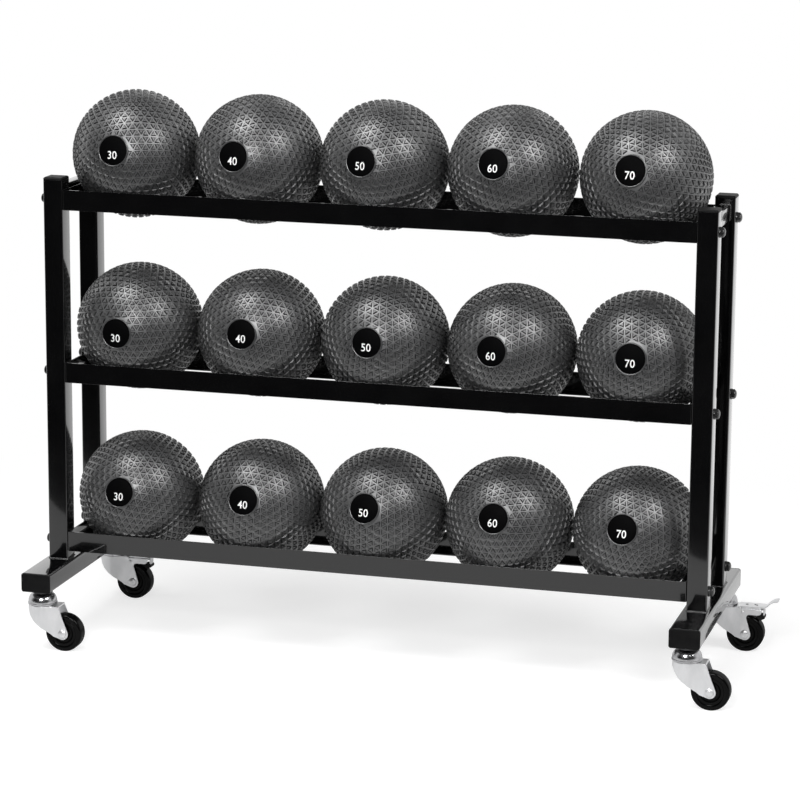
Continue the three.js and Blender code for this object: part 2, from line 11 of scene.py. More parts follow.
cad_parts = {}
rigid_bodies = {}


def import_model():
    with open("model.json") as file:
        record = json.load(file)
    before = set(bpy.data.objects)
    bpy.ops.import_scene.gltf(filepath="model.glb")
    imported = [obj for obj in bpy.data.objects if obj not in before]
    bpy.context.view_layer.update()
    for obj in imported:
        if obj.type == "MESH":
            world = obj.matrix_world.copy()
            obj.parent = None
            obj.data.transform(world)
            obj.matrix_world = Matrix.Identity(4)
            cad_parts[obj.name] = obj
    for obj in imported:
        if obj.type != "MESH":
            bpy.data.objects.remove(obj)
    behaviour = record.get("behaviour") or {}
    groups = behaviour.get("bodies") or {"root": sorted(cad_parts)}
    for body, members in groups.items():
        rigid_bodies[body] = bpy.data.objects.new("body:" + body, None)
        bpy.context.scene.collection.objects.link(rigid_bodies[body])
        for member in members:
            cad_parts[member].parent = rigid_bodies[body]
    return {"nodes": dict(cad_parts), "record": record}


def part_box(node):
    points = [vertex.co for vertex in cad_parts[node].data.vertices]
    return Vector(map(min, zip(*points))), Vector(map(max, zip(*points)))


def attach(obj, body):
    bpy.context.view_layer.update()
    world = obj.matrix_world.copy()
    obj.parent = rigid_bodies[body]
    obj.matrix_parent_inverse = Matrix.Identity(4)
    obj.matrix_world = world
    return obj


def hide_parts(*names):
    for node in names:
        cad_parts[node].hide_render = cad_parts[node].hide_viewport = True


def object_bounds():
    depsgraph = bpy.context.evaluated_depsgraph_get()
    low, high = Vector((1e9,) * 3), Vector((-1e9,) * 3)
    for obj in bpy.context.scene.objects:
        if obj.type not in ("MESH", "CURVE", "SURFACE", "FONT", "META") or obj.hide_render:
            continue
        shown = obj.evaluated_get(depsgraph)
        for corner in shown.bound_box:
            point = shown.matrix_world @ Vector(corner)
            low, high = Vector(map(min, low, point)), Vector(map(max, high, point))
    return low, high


bl_info = {
    "name": "Ball Cart",
    "version": (1, 0, 0),
    "blender": (4, 5, 0),
    "location": "View3D > Sidebar > Ball Cart",
    "description": "Finished surfaces for a rolling steel cart with fifteen studded balls",
    "category": "Object",
}

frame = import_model()
cad_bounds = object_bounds()

BODY_OF = {name: body for body, names in frame["record"]["behaviour"]["bodies"].items() for name in names}
SIDES = ("left", "right")
CORNERS = ("left_front", "left_rear", "right_front", "right_rear")
TIERS = ("bottom", "middle", "top")
BALLS_PER_TIER = 5
# Where each ball's label faces in degrees: turn toward +X, then tilt above the horizon
LABEL_TURNS = {
    "bottom": ((-1.7, 13.5), (0.0, 14.9), (-3.7, 15.9), (-2.2, 15.8), (-3.5, 14.9)),
    "middle": ((-2.4, 2.5), (-1.1, 8.9), (-1.7, 8.2), (-5.8, 7.4), (0.5, 8.6)),
    "top": ((-1.7, 9.7), (-6.3, 9.3), (-6.4, 10.2), (-4.9, 13.4), (-3.4, 13.0)),
}
# Number on the label: this much, and as much more for each place in the row
NUMBER_START, NUMBER_STEP = 20, 10
# Turn of the first ball's studs about X, Y and Z in radians, and what each further ball adds
FIRST_TURN, MORE_TURN = (0.35, 0.2, 0.0), (0.9, 1.7, 2.4)
WHITE = (1.0, 1.0, 1.0, 1.0)
# Gap in metres between pieces that touch, and the distance below which two points are one
SEAT_GAP, SAME_POINT = 0.0003, 1e-6


# Settings

def length(name, description, default):
    return FloatProperty(
        name=name, description=description, default=default, min=0.0, unit="LENGTH", precision=5
    )


def whole(name, description, default, low, high):
    return IntProperty(name=name, description=description, default=default, min=low, max=high)


def share(name, description, default, low=0.0, high=1.0):
    return FloatProperty(name=name, description=description, default=default, min=low, max=high)


def angle(name, description, degrees):
    return FloatProperty(name=name, description=description, default=math.radians(degrees), subtype="ANGLE")


def power(name, description, default):
    return FloatProperty(name=name, description=description, default=default, min=0.0, unit="POWER")


def colour(name, description, default):
    return FloatVectorProperty(
        name=name, description=description, default=default, size=3, min=0.0, max=1.0, subtype="COLOR"
    )


class FinishColours(bpy.types.PropertyGroup):
    """Colours of the cart's finishes"""

    paint: colour("Frame Paint", "Black enamel on the steel tubes", (0.0012, 0.0012, 0.0014))
    paint_worn: colour("Worn Paint", "Enamel where it is dusty or rubbed", (0.0025, 0.0025, 0.0027))
    plastic: colour("Cap Plastic", "Moulded end caps", (0.004, 0.004, 0.0043))
    plastic_light: colour("Scuffed Plastic", "End caps where they are scuffed", (0.008, 0.008, 0.008))
    zinc: colour("Zinc", "Plated forks and brake levers", (0.78, 0.78, 0.79))
    zinc_cloud: colour("Zinc Cloud", "Darker clouds in the plating", (0.69, 0.695, 0.705))
    chrome: colour("Chrome", "Bright cups of the ball races", (0.5, 0.5, 0.51))
    chrome_haze: colour("Chrome Haze", "Handling marks on the cups", (0.39, 0.39, 0.4))
    # Dark steel also colours the leaves below the levers and the walls in their openings, where it is painted
    # shade
    collar: colour("Dark Steel", "Collars of the stems and springs of the brakes", (0.035, 0.035, 0.037))
    collar_light: colour("Bare Steel", "Collars where the oxide is thin", (0.09, 0.09, 0.092))
    bolt: colour("Black Bolts", "Blackened bolts, nuts and washers", (0.005, 0.005, 0.0052))
    bolt_worn: colour("Worn Bolts", "Bolts where the black is thin", (0.016, 0.016, 0.0165))
    tyre: colour("Tyre", "Wheels, tyre and hub alike", (0.001, 0.001, 0.0011))
    tyre_dust: colour("Tyre Dust", "Wheels where dust has settled", (0.0025, 0.0025, 0.0025))
    shoe: colour("Brake Shoe", "Rubber of the brake shoes", (0.008, 0.008, 0.008))
    rubber: colour("Ball Rubber", "Channels between the studs", (0.037, 0.0374, 0.0384))
    rubber_stud: colour("Stud Tops", "Rubber on top of the studs", (0.042, 0.0424, 0.0438))
    # The stud walls' dark colour is painted shade for the shadow on their steep sides
    rubber_wall: colour("Stud Walls", "Steep walls of the studs", (0.004, 0.004, 0.0042))
    rubber_dust: colour("Rubber Bloom", "Pale bloom on the rubber", (0.048, 0.0485, 0.05))
    ring: colour("Label Ring", "Smooth rim about the label", (0.032, 0.032, 0.033))
    label: colour("Label", "Black disc that carries the number", (0.001, 0.001, 0.0011))
    number: colour("Number", "Printed digits", (0.86, 0.86, 0.86))
    number_worn: colour("Worn Number", "Digits where the print is thin", (0.78, 0.78, 0.78))


class BallSizes(bpy.types.PropertyGroup):
    """Sizes of the ball skins and their labels"""

    cells: whole("Cells", "Triangles along each edge of the twenty-sided lattice", 10, 3, 16)
    skin_drop: length("Skin Drop", "How far the channels lie below the ball's full radius", 0.0023)
    stud_height: length("Stud Height", "Height of a stud above the channel", 0.0022)
    stud_foot: share("Stud Foot", "Foot of a stud as a share of its cell", 0.76, 0.3)
    stud_top: share("Stud Top", "Top of a stud as a share of its foot", 0.55, 0.2)
    low_share: share("Low Studs", "Height of the studs that point the other way, as a share", 0.92)
    label_radius: length("Label Radius", "Radius of the label's disc", 0.0285)
    label_depth: length("Label Depth", "From the disc's face to its hidden back", 0.006)
    ring_radius: length("Ring Radius", "Outer radius of the ring about the disc", 0.0316)
    ring_margin: length("Ring Margin", "Skin without studs about the ring", 0.0018)
    ring_lift: length("Ring Lift", "Height of the ring's middle above the ball's radius", 0.0002)
    digit_height: length("Digit Height", "Height of the printed digits", 0.0152)
    digit_drop: length("Digit Drop", "How far the digits' middle lies below the disc's", 0.0088)
    digit_width: share("Digit Width", "Width of the digits as a share of the font's", 0.92)
    print_lift: length("Print Lift", "Height of the print above the disc", 0.00022)


class FrameSizes(bpy.types.PropertyGroup):
    """Sizes of the tubes' details"""

    post_corner: length("Post Corner", "Corner radius of the posts", 0.003)
    post_wall: length("Post Wall", "Wall of the posts", 0.002)
    soft_edge: length("Soft Edge", "Rounding of cut and folded edges", 0.0006)
    cap_edge: length("Cap Edge", "Rounding of the moulded caps' edges", 0.0012)
    rail_edge: length("Rail Edge", "Rounding of the trays' edges", 0.0011)
    bead_radius: length("Bead Radius", "Radius of a weld bead", 0.0023)
    bead_pitch: length("Bead Pitch", "Distance from ripple to ripple in a weld", 0.0012)
    unevenness: share("Unevenness", "Share by which a ripple may be smaller", 0.3)


class BoltSizes(bpy.types.PropertyGroup):
    """Sizes of the bolts that hold the trays"""

    washer_radius: length("Washer Radius", "Radius of the washers", 0.0105)
    washer_thickness: length("Washer Thickness", "Thickness of the washers", 0.002)
    nut_flats: length("Nut Size", "Size across the flats", 0.017)
    nut_height: length("Nut Height", "Height of the hexagon below the dome", 0.005)
    dome_height: length("Dome Height", "Height of the dome on the nut", 0.0039)
    back_nut_height: length("Back Nut Height", "Height of the plain nut inside the tray", 0.007)
    back_nut_drop: length("Back Nut Drop", "From the post's outer face to the plain nut", 0.0431)
    bolt_radius: length("Bolt Radius", "Radius of the thread", 0.005)


class CasterSizes(bpy.types.PropertyGroup):
    """Sizes of the casters"""

    wheel_radius: length("Wheel Radius", "Radius at the middle of the tread", 0.0375)
    wheel_width: length("Wheel Width", "Width of the tyre", 0.027)
    tread_corner: length("Tread Corner", "Rounding of the tyre's shoulders", 0.0042)
    hub_radius: length("Hub Radius", "Outer radius of the groove about the hub", 0.021)
    hub_groove: length("Hub Groove", "Width and depth of that groove", 0.0026)
    hub_ridge: length("Hub Ridge", "Depth of the ridge inside the groove", 0.0009)
    hub_web: length("Hub Web", "Depth of the web between ridge and boss", 0.002)
    hub_lip: length("Hub Lip", "Depth of the bevel on the groove's outer side", 0.0007)
    tyre_line: length("Tyre Line", "From the groove to the fine line round the tyre", 0.0052)
    boss_radius: length("Boss Radius", "Radius of the wheel's boss", 0.009)
    axle_radius: length("Axle Radius", "Radius of the axle", 0.004)
    fork_half: length("Fork Half", "From the wheel's middle to the fork's outer face", 0.0193)
    head_radius: length("Bolt Head Radius", "Radius of the axle bolt's head and nut", 0.0085)
    thread_end: length("Thread End", "How far the axle ends past its nut", 0.002)
    fine_edge: length("Fine Edge", "Smallest step in a turned profile", 0.0004)
    edge: length("Edge", "Bevel of turned edges", 0.0006)
    wide_edge: length("Wide Edge", "Bevel of the boss and of the axle's end", 0.0008)
    bevel: length("Bevel", "Bevel of the stem's upper end and of the axle's nut", 0.001)
    race_radius: length("Race Radius", "Radius of the chrome cup", 0.0295)
    race_bore: length("Race Bore", "Inner radius of the cup's skirt about the stem", 0.012)
    race_crown: length("Race Crown", "Radius where the cup turns in", 0.0195)
    race_rim: length("Race Rim", "Height of the cup's straight rim", 0.0045)
    race_wall: length("Race Wall", "Wall of the cup", 0.0025)
    race_groove: length("Race Groove", "Depth of the groove above the rim", 0.0009)
    stem_radius: length("Stem Radius", "Radius of the stem", 0.006)
    stem_head: length("Stem Head", "Radius of the stem's head below the fork", 0.009)
    stem_edge: length("Stem Edge", "Rounding of that head", 0.0015)
    collar_radius: length("Collar Radius", "Radius of the dark collar", 0.0205)
    collar_height: length("Collar Height", "Height of the dark collar", 0.01)
    collar_step: length("Collar Step", "Height of the step below the collar", 0.0022)
    collar_edge: length("Collar Edge", "Rounding of the collar", 0.0016)
    turned_steps: whole("Turned Steps", "Steps round the turned pieces", 72, 24, 144)


class BrakeSizes(bpy.types.PropertyGroup):
    """Sizes of the levers' small parts, of the dark leaves below them that are painted shade, and of the
    shoes
    """

    shoe_height: length("Shoe Height", "Height of the rubber block", 0.0115)
    shoe_wrap: length("Shoe Wrap", "How far the rubber reaches round the tongue", 0.0036)
    shoe_edge: length("Shoe Edge", "Rounding of the rubber block", 0.0009)
    leaf_inset: length("Leaf Inset", "From the lever's front end to the spring", 0.0075)
    # The leaf below each lever is a dark sheet that stands as painted shade
    leaf_width: length("Leaf Width", "Width of the spring", 0.016)
    leaf_drop: length("Leaf Drop", "From the fork's top to the spring's underside", 0.0015)
    leaf_sheet: length("Leaf Sheet", "Thickness of the spring", 0.0008)
    leaf_bow: length("Leaf Bow", "How far the spring sags at its middle", 0.0012)
    sheet: length("Lever Sheet", "Thickness of the lever's sheet", 0.002)
    sheet_gap: length("Sheet Gap", "Between the fork's top and the lever's sheet", 0.0005)
    hole_inset: length("Hole Inset", "From the lever's front end to its hole", 0.016)
    hole_width: length("Hole Width", "Clear width of the hole", 0.0059)
    slot_inset: length("Slot Inset", "From the step of the lever's sheet back to its slot", 0.0145)
    slot_length: length("Slot Length", "Clear length of the slot", 0.0096)
    slot_width: length("Slot Width", "Clear width of the slot", 0.0041)
    slot_turn: angle("Slot Turn", "Turn of the slot from the lever's length", -35.0)
    rim_width: length("Rim Width", "Width of the rims round the openings", 0.0011)
    rim_rise: length("Rim Rise", "Height of those rims above the sheet", 0.00035)
    # The dark walls in the openings are painted shade
    liner_wall: length("Liner Wall", "Thickness of the dark walls of the openings", 0.00025)
    rivet_radius: length("Rivet Radius", "Radius of the pivot pin's heads", 0.0034)
    rivet_rise: length("Rivet Rise", "Height of those heads above the pin's ends", 0.0009)
    rivet_seat: length("Rivet Seat", "How far a head reaches back from the pin's end to the fork", 0.0004)


class StageSettings(bpy.types.PropertyGroup):
    """Camera, lamps and floor"""

    focal_length: FloatProperty(
        name="Focal Length", description="Focal length on a 36 mm sensor", default=138.523, min=20.0,
        unit="CAMERA"
    )
    place: FloatVectorProperty(
        name="Camera Place", description="Camera from the middle of the posts at the feet's top",
        default=(1.615215, -5.707503, 1.642977), size=3, unit="LENGTH", subtype="XYZ"
    )
    yaw: angle("Yaw", "Turn to the left of straight ahead", 15.525)
    pitch: angle("Pitch", "Tilt below the horizon", 12.324)
    roll: angle("Roll", "Turn about the line of sight", 0.461)
    high_power: power("High Lamp", "Power of the high left lamp", 205.0)
    right_power: power("Right Lamp", "Power of the right lamp", 155.0)
    front_power: power("Front Lamp", "Power of the lamp in front", 165.0)
    sky_strength: share("Sky", "Light of the plain surroundings", 0.04)
    ceiling: share("Ceiling", "Light of the ceiling that glossy surfaces mirror", 0.3)
    floor: colour("Floor", "Pale floor", (0.4, 0.4, 0.4))
    floor_glow: share("Floor Glow", "White added to the floor as the camera sees it", 0.72)
    floor_mirror: share("Floor Mirror", "White added to the floor as glossy surfaces mirror it", 0.4)


# Meshes

def linked(thing):
    """Puts an object into the scene."""
    bpy.context.scene.collection.objects.link(thing)
    return thing


def shaded(mesh, limit=35.0):
    """Smooth shading, with edges sharp where faces turn by more than the limit in degrees."""
    mesh.shade_smooth()
    mesh.set_sharp_from_angle(angle=math.radians(limit))
    return mesh


def mesh_from(name, points, faces=(), edges=()):
    mesh = bpy.data.meshes.new(name)
    mesh.from_pydata([tuple(point) for point in points], list(edges), list(faces))
    mesh.update()
    return mesh


def outward(mesh):
    """Merges doubles and turns every face outward."""
    work = bmesh.new()
    work.from_mesh(mesh)
    bmesh.ops.remove_doubles(work, verts=work.verts, dist=SAME_POINT)
    bmesh.ops.recalc_face_normals(work, faces=work.faces)
    work.to_mesh(mesh)
    work.free()
    return mesh


def skin(name, rings, closed=False, capped=False):
    """Mesh over rings of points, each joined to the next; a ring of one point is a tip."""
    points, numbers = [], []
    for ring in rings:
        numbers.append(range(len(points), len(points) + len(ring)))
        points += ring
    faces = [tuple(numbers[0]), tuple(numbers[-1])] if capped else []
    for lower, upper in zip(numbers, [*numbers[1:], *(numbers[:1] if closed else ())]):
        count = max(len(lower), len(upper))
        for step in range(count if count > 1 else 0):
            corners = ((lower, step), (lower, step + 1), (upper, step + 1), (upper, step))
            faces.append(tuple(dict.fromkeys(ring[place % len(ring)] for ring, place in corners)))
    return outward(mesh_from(name, points, faces))


def turned(name, profile, steps, closed=False):
    """Mesh turned about Z from pairs of radius and height; a closed profile is a ring."""
    turns = [2 * math.pi * step / steps for step in range(steps)]
    rings = []
    for radius, height in profile:
        around = turns if radius > SAME_POINT else turns[:1]
        rings.append([(radius * math.cos(turn), radius * math.sin(turn), height) for turn in around])
    return skin(name, rings, closed=closed)


def laid(mesh, way, place):
    """Turns a mesh's Z to -Y, or to +Y where the way is -1, and sets it in its place."""
    mesh.transform(Matrix.Translation(place) @ Matrix.Rotation(math.radians(90.0 * way), 4, "X"))
    return mesh


def arc(centre, radius, start, end, steps, height=None):
    """Profile points on an arc, with its angles in degrees, or on an ellipse with that half height."""
    turns = [math.radians(start + (end - start) * step / steps) for step in range(steps + 1)]
    height = radius if height is None else height
    return [(centre[0] + radius * math.cos(turn), centre[1] + height * math.sin(turn)) for turn in turns]


def rounded_outline(width, depth, corner, steps=5):
    """Rectangle about the origin with round corners."""
    x, y = width / 2 - corner, depth / 2 - corner
    outline = []
    for quarter, (side_x, side_y) in enumerate(((1, 1), (-1, 1), (-1, -1), (1, -1))):
        outline += arc((side_x * x, side_y * y), corner, 90 * quarter, 90 * quarter + 90, steps)
    return outline


def hollow_tube(name, width, depth, corner, wall, low, high, lip=0.0003, least_corner=0.0004):
    """Upright tube, open at both ends, with a small bevel on its outer edges."""
    outer = rounded_outline(width, depth, corner)
    inner = rounded_outline(width - 2 * wall, depth - 2 * wall, max(corner - wall, least_corner))
    return skin(name, [
        [(x - math.copysign(bevel, x), y - math.copysign(bevel, y), height) for x, y in outline]
        for outline, height, bevel in (
            (outer, low + lip, 0.0), (outer, high - lip, 0.0), (outer, high, lip),
            (inner, high, 0.0), (inner, low, 0.0), (outer, low, lip),
        )
    ], closed=True)


def slab(name, outline, near, far, edge):
    """Plate with rounded edges whose outline is given in X and Z."""
    plate = skin(name, [[(x, y, z) for x, z in outline] for y in (near, far)], capped=True)
    return rounded(plate, name, edge, segments=3, limit=25.0)


def leaf(name, start, end, centre_y, width, level, sheet, bow, steps=12, corner_share=0.3):
    """Thin dark leaf along X, narrower at its ends, with a slight bow downwards; it is painted shade below a
    lever's openings.
    """
    reach, corner = (end - start) / 2, corner_share * width
    rings = []
    for step in range(steps + 1):
        along = 2 * step / steps - 1
        past = max(0.0, abs(along) * reach - (reach - corner)) / corner
        half = width / 2 - corner * (1 - math.sqrt(max(0.0, 1 - past * past)))
        x, low = start + 2 * reach * step / steps, level - bow * (1 - along * along)
        near, far = centre_y - half, centre_y + half
        rings.append([(x, near, low), (x, far, low), (x, far, low + sheet), (x, near, low + sheet)])
    return skin(name, rings, capped=True)


def merged_copy(node_name, kind, edge, segments=2, limit=32.0):
    """Copy of a CAD node's surface with joined facets and softly rounded edges."""
    name = f"{node_name}_{kind}"
    source = frame["nodes"][node_name].data
    faces = [tuple(face.vertices) for face in source.polygons]
    mesh = mesh_from(name, [vertex.co for vertex in source.vertices], faces)
    flat = math.radians(0.6)
    work = bmesh.new()
    work.from_mesh(mesh)
    bmesh.ops.remove_doubles(work, verts=work.verts, dist=2 * SAME_POINT)
    bmesh.ops.dissolve_limit(work, angle_limit=flat, verts=work.verts, edges=work.edges)
    work.to_mesh(mesh)
    work.free()
    return rounded(mesh, name, edge, segments, limit)


def rounded(mesh, name, edge, segments, limit):
    """Mesh with softly rounded edges wherever its faces turn by more than the limit."""
    holder = linked(bpy.data.objects.new(name + "_edges", shaded(mesh, limit)))
    bevel = holder.modifiers.new("Rounded edges", "BEVEL")
    bevel.width = edge
    bevel.segments = segments
    bevel.limit_method = "ANGLE"
    bevel.angle_limit = math.radians(limit)
    bevel.harden_normals = True
    bevel.miter_outer = "MITER_ARC"
    return plain_mesh(holder, name)


def plain_mesh(holder, name):
    """Mesh that an object and its modifiers make; the object and its own data go."""
    bpy.context.view_layer.update()
    graph = bpy.context.evaluated_depsgraph_get()
    mesh = bpy.data.meshes.new_from_object(holder.evaluated_get(graph), depsgraph=graph)
    holder.modifiers.clear()
    draft = holder.data
    bpy.data.objects.remove(holder)
    bpy.data.batch_remove([draft])
    mesh.name = name
    return mesh


def joined(name, meshes):
    """One mesh of several, still apart from each other."""
    work = bmesh.new()
    for mesh in meshes:
        work.from_mesh(mesh)
    whole = bpy.data.meshes.new(name)
    work.to_mesh(whole)
    work.free()
    return whole


def placed(mesh, finish, body, *nodes):
    """Piece of the cart: a finished mesh that moves with a body and may stand for CAD nodes."""
    piece = linked(bpy.data.objects.new(mesh.name, mesh))
    mesh.materials.clear()
    mesh.materials.append(bpy.data.materials[finish])
    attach(piece, body)
    if nodes:
        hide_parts(*nodes)


def stand_in(mesh, finish, node_name):
    """Piece that takes a CAD node's place on its body."""
    placed(mesh, finish, BODY_OF[node_name], node_name)


def middle(node_name):
    """Middle of a CAD node's box."""
    low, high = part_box(node_name)
    return (low + high) / 2


def footprint(node_name):
    """Middle of a CAD node on the floor plan, its width and its depth."""
    low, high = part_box(node_name)
    return Vector((*((low + high) / 2).xy, 0.0)), high.x - low.x, high.y - low.y


# Node trees

def new_group(name, kind, inputs, outputs):
    """Group with its end nodes; an input is given by its default number, or else by its kind."""
    group = bpy.data.node_groups.new(name, kind)
    kinds = {float: "Float", int: "Int"}
    for label, value in inputs.items():
        socket_type = "NodeSocket" + kinds.get(type(value), str(value))
        socket = group.interface.new_socket(label, in_out="INPUT", socket_type=socket_type)
        if type(value) in kinds:
            socket.default_value = value
    for label, value in outputs.items():
        group.interface.new_socket(label, in_out="OUTPUT", socket_type="NodeSocket" + value)
    return group, group.nodes.new("NodeGroupInput").outputs, group.nodes.new("NodeGroupOutput")


def wire(group, target, inputs):
    """Sets or links a node's inputs, each by name or place, to a value, an output or a node."""
    for socket, value in inputs.items():
        if isinstance(value, bpy.types.Node):
            value = value.outputs[0]
        if isinstance(value, bpy.types.NodeSocket):
            group.links.new(value, target.inputs[socket])
        else:
            target.inputs[socket].default_value = value
    return target


def node(group, kind, inputs=(), **settings):
    """Adds a node to a tree, sets it up and wires its inputs."""
    made = group.nodes.new(kind)
    for key, value in settings.items():
        setattr(made, key, value)
    return wire(group, made, dict(inputs))


def maths(group, operation, *values, **settings):
    """Adds a node that works on numbers."""
    return node(group, "ShaderNodeMath", enumerate(values), operation=operation, **settings)


def blend(group, factor, first, second):
    """Mixes two numbers."""
    return node(group, "ShaderNodeMix", {0: factor, 2: first, 3: second}, data_type="FLOAT")


def tint(group, factor, first, second):
    """Mixes two colours."""
    return node(group, "ShaderNodeMix", {0: factor, 6: first, 7: second}, data_type="RGBA").outputs[2]


def ramp(group, value, start, end, low=0.0, high=1.0, kind="SMOOTHSTEP"):
    """Takes a value's way from start to end to the way from low to high."""
    return node(group, "ShaderNodeMapRange", {
        "Value": value, "From Min": start, "From Max": end, "To Min": low, "To Max": high,
    }, interpolation_type=kind)


def finished_geometry(group, geometry, material, leave):
    """Ends a tree with real geometry in one material."""
    real = node(group, "GeometryNodeRealizeInstances", {0: geometry})
    wire(group, leave, {0: node(group, "GeometryNodeSetMaterial", {"Geometry": real, "Material": material})})
    return group


def sized_inputs(sizes, *labels):
    """Inputs of a node tree that bear the names of sizes."""
    return {label: getattr(sizes, label.lower().replace(" ", "_")) for label in labels}


def grown(name, mesh, group, values):
    """Mesh that a geometry node tree grows from a starting mesh."""
    holder = linked(bpy.data.objects.new(name + "_seed", mesh))
    modifier = holder.modifiers.new("Growth", "NODES")
    modifier.node_group = group
    sockets = {item.name: item.identifier for item in group.interface.items_tree if item.in_out == "INPUT"}
    for label, value in values.items():
        modifier[sockets[label]] = value
    return plain_mesh(holder, name)


def stud_tree():
    """Raises a stud on each cell of a lattice that lies clear of the label."""
    group, given, leave = new_group("Stud skin", "GeometryNodeTree", {
        "Lattice": "Geometry", "Radius": 0.126, "Stud Height": 0.001, "Stud Foot": 0.9, "Stud Top": 0.7,
        "Label Direction": "Vector", "Label Turn": 0.25, "Rubber": "Material",
    }, {"Skin": "Geometry"})

    def lift_faces(mesh, selection, height):
        return node(group, "GeometryNodeExtrudeMesh", {
            "Mesh": mesh, "Selection": selection, "Offset Scale": height, "Individual": True,
        }, mode="FACES")

    def scaled_faces(mesh, selection, scale):
        return node(group, "GeometryNodeScaleElements", {
            "Geometry": mesh, "Selection": selection, "Scale": scale,
        }, domain="FACE")

    position = node(group, "GeometryNodeInputPosition")
    unit = node(group, "ShaderNodeVectorMath", {0: position}, operation="NORMALIZE")
    facing = node(group, "ShaderNodeVectorMath", {
        0: unit, 1: given["Label Direction"],
    }, operation="DOT_PRODUCT")
    clear = node(group, "FunctionNodeCompare", {
        0: facing.outputs["Value"], 1: maths(group, "COSINE", given["Label Turn"]),
    }, data_type="FLOAT", operation="LESS_THAN")
    sized = node(group, "GeometryNodeTransform", {"Geometry": given["Lattice"], "Scale": given["Radius"]})
    rim = lift_faces(sized, clear, 0.0)
    foot = scaled_faces(rim, rim.outputs["Top"], given["Stud Foot"])
    lift = node(group, "GeometryNodeInputNamedAttribute", {"Name": "lift"}, data_type="FLOAT")
    raised = lift_faces(foot, rim.outputs["Top"], maths(group, "MULTIPLY", lift, given["Stud Height"]))
    marked = scaled_faces(raised, raised.outputs["Top"], given["Stud Top"])
    # stud_wall marks the walls, which the rubber darkens as painted shade
    for label, selection in (("stud_top", raised.outputs["Top"]), ("stud_wall", raised.outputs["Side"])):
        marked = node(group, "GeometryNodeStoreNamedAttribute", {
            "Geometry": marked, "Selection": selection, "Name": label, "Value": 1.0,
        }, data_type="FLOAT", domain="FACE")
    return finished_geometry(group, marked, given["Rubber"], leave)


def weld_tree():
    """Lays rippled weld metal along the seams of a wire mesh."""
    group, given, leave = new_group("Weld bead", "GeometryNodeTree", {
        "Seams": "Geometry", "Bead Radius": 0.0017, "Bead Pitch": 0.002, "Unevenness": 0.25, "Seed": 7,
        "Paint": "Material",
    }, {"Bead": "Geometry"})
    seam = node(group, "GeometryNodeMeshToCurve", {"Mesh": given["Seams"]})
    ripples = node(group, "GeometryNodeResampleCurve", {
        "Curve": seam, "Length": given["Bead Pitch"],
    }, mode="LENGTH")
    ripple = node(group, "GeometryNodeMeshUVSphere", {
        "Segments": 8, "Rings": 4, "Radius": given["Bead Radius"],
    })
    swing = node(group, "FunctionNodeRandomValue", {
        2: maths(group, "SUBTRACT", 1.0, given["Unevenness"]), 3: 1.0, "Seed": given["Seed"],
    }, data_type="FLOAT")
    laid_beads = node(group, "GeometryNodeInstanceOnPoints", {
        "Points": ripples, "Instance": ripple, "Scale": swing.outputs[1],
    })
    return finished_geometry(group, laid_beads, given["Paint"], leave)


def bolt_tree():
    """Sets washer, domed nut, plain nut and thread end on each point of a mesh, along one direction."""
    group, given, leave = new_group("Tray bolts", "GeometryNodeTree", {
        "Points": "Geometry", "Outward": "Vector", "Washer Radius": 0.01, "Washer Thickness": 0.002,
        "Nut Corner": 0.0098, "Nut Height": 0.005, "Dome Height": 0.004, "Back Nut Height": 0.007,
        "Back Nut Drop": 0.043, "Bolt Radius": 0.005, "Thread End": 0.002, "Steel": "Material",
    }, {"Bolts": "Geometry"})

    def lifted(mesh, height, scale=(1.0, 1.0, 1.0)):
        offset = node(group, "ShaderNodeCombineXYZ", {"Z": height})
        return node(group, "GeometryNodeTransform", {"Geometry": mesh, "Translation": offset, "Scale": scale})

    def disc(sides, radius, depth):
        return node(group, "GeometryNodeMeshCylinder", {"Vertices": sides, "Radius": radius, "Depth": depth})

    def half(value):
        return maths(group, "DIVIDE", value, 2.0)

    washer_top, nut_corner, nut_height = given["Washer Thickness"], given["Nut Corner"], given["Nut Height"]
    back_height, back_drop = given["Back Nut Height"], given["Back Nut Drop"]
    washer = lifted(disc(36, given["Washer Radius"], washer_top), half(washer_top))
    nut = lifted(disc(6, nut_corner, nut_height), maths(group, "ADD", washer_top, half(nut_height)))
    dome_radius = maths(group, "MULTIPLY", nut_corner, math.cos(math.radians(30.0)))
    ball = node(group, "GeometryNodeMeshUVSphere", {"Segments": 36, "Rings": 16, "Radius": dome_radius})
    flat = node(group, "ShaderNodeCombineXYZ", {
        "X": 1.0, "Y": 1.0, "Z": maths(group, "DIVIDE", given["Dome Height"], dome_radius),
    })
    dome = lifted(ball, maths(group, "ADD", washer_top, nut_height), flat)
    back_face = maths(group, "MULTIPLY", back_drop, -1.0)
    back_middle = maths(group, "SUBTRACT", back_face, half(back_height))
    back_nut = lifted(disc(6, nut_corner, back_height), back_middle)
    thread_length = maths(group, "ADD", maths(group, "ADD", back_drop, back_height), given["Thread End"])
    thread_middle = maths(group, "DIVIDE", thread_length, -2.0)
    thread = lifted(disc(24, given["Bolt Radius"], thread_length), thread_middle)
    parts = node(group, "GeometryNodeJoinGeometry")
    for part in (washer, nut, dome, back_nut, thread):
        wire(group, parts, {0: part})
    turn = node(group, "FunctionNodeAlignRotationToVector", {"Vector": given["Outward"]}, axis="Z")
    bolts = node(group, "GeometryNodeInstanceOnPoints", {
        "Points": given["Points"], "Instance": parts, "Rotation": turn,
    })
    return finished_geometry(group, bolts, given["Steel"], leave)


# Finishes

class Finish(NamedTuple):
    """Numbers of a finish; tone and cloud name two of the cart's colours."""

    slot: str
    tone: str
    cloud: str
    roughness: float
    swing: float
    cloud_scale: float
    fine_scale: float
    wave_scale: float
    wave_share: float
    relief: float
    metallic: float = 0.0
    coat: float = 0.0
    coat_roughness: float = 0.1
    gloss: float = 0.5
    stretch: float = 1.0


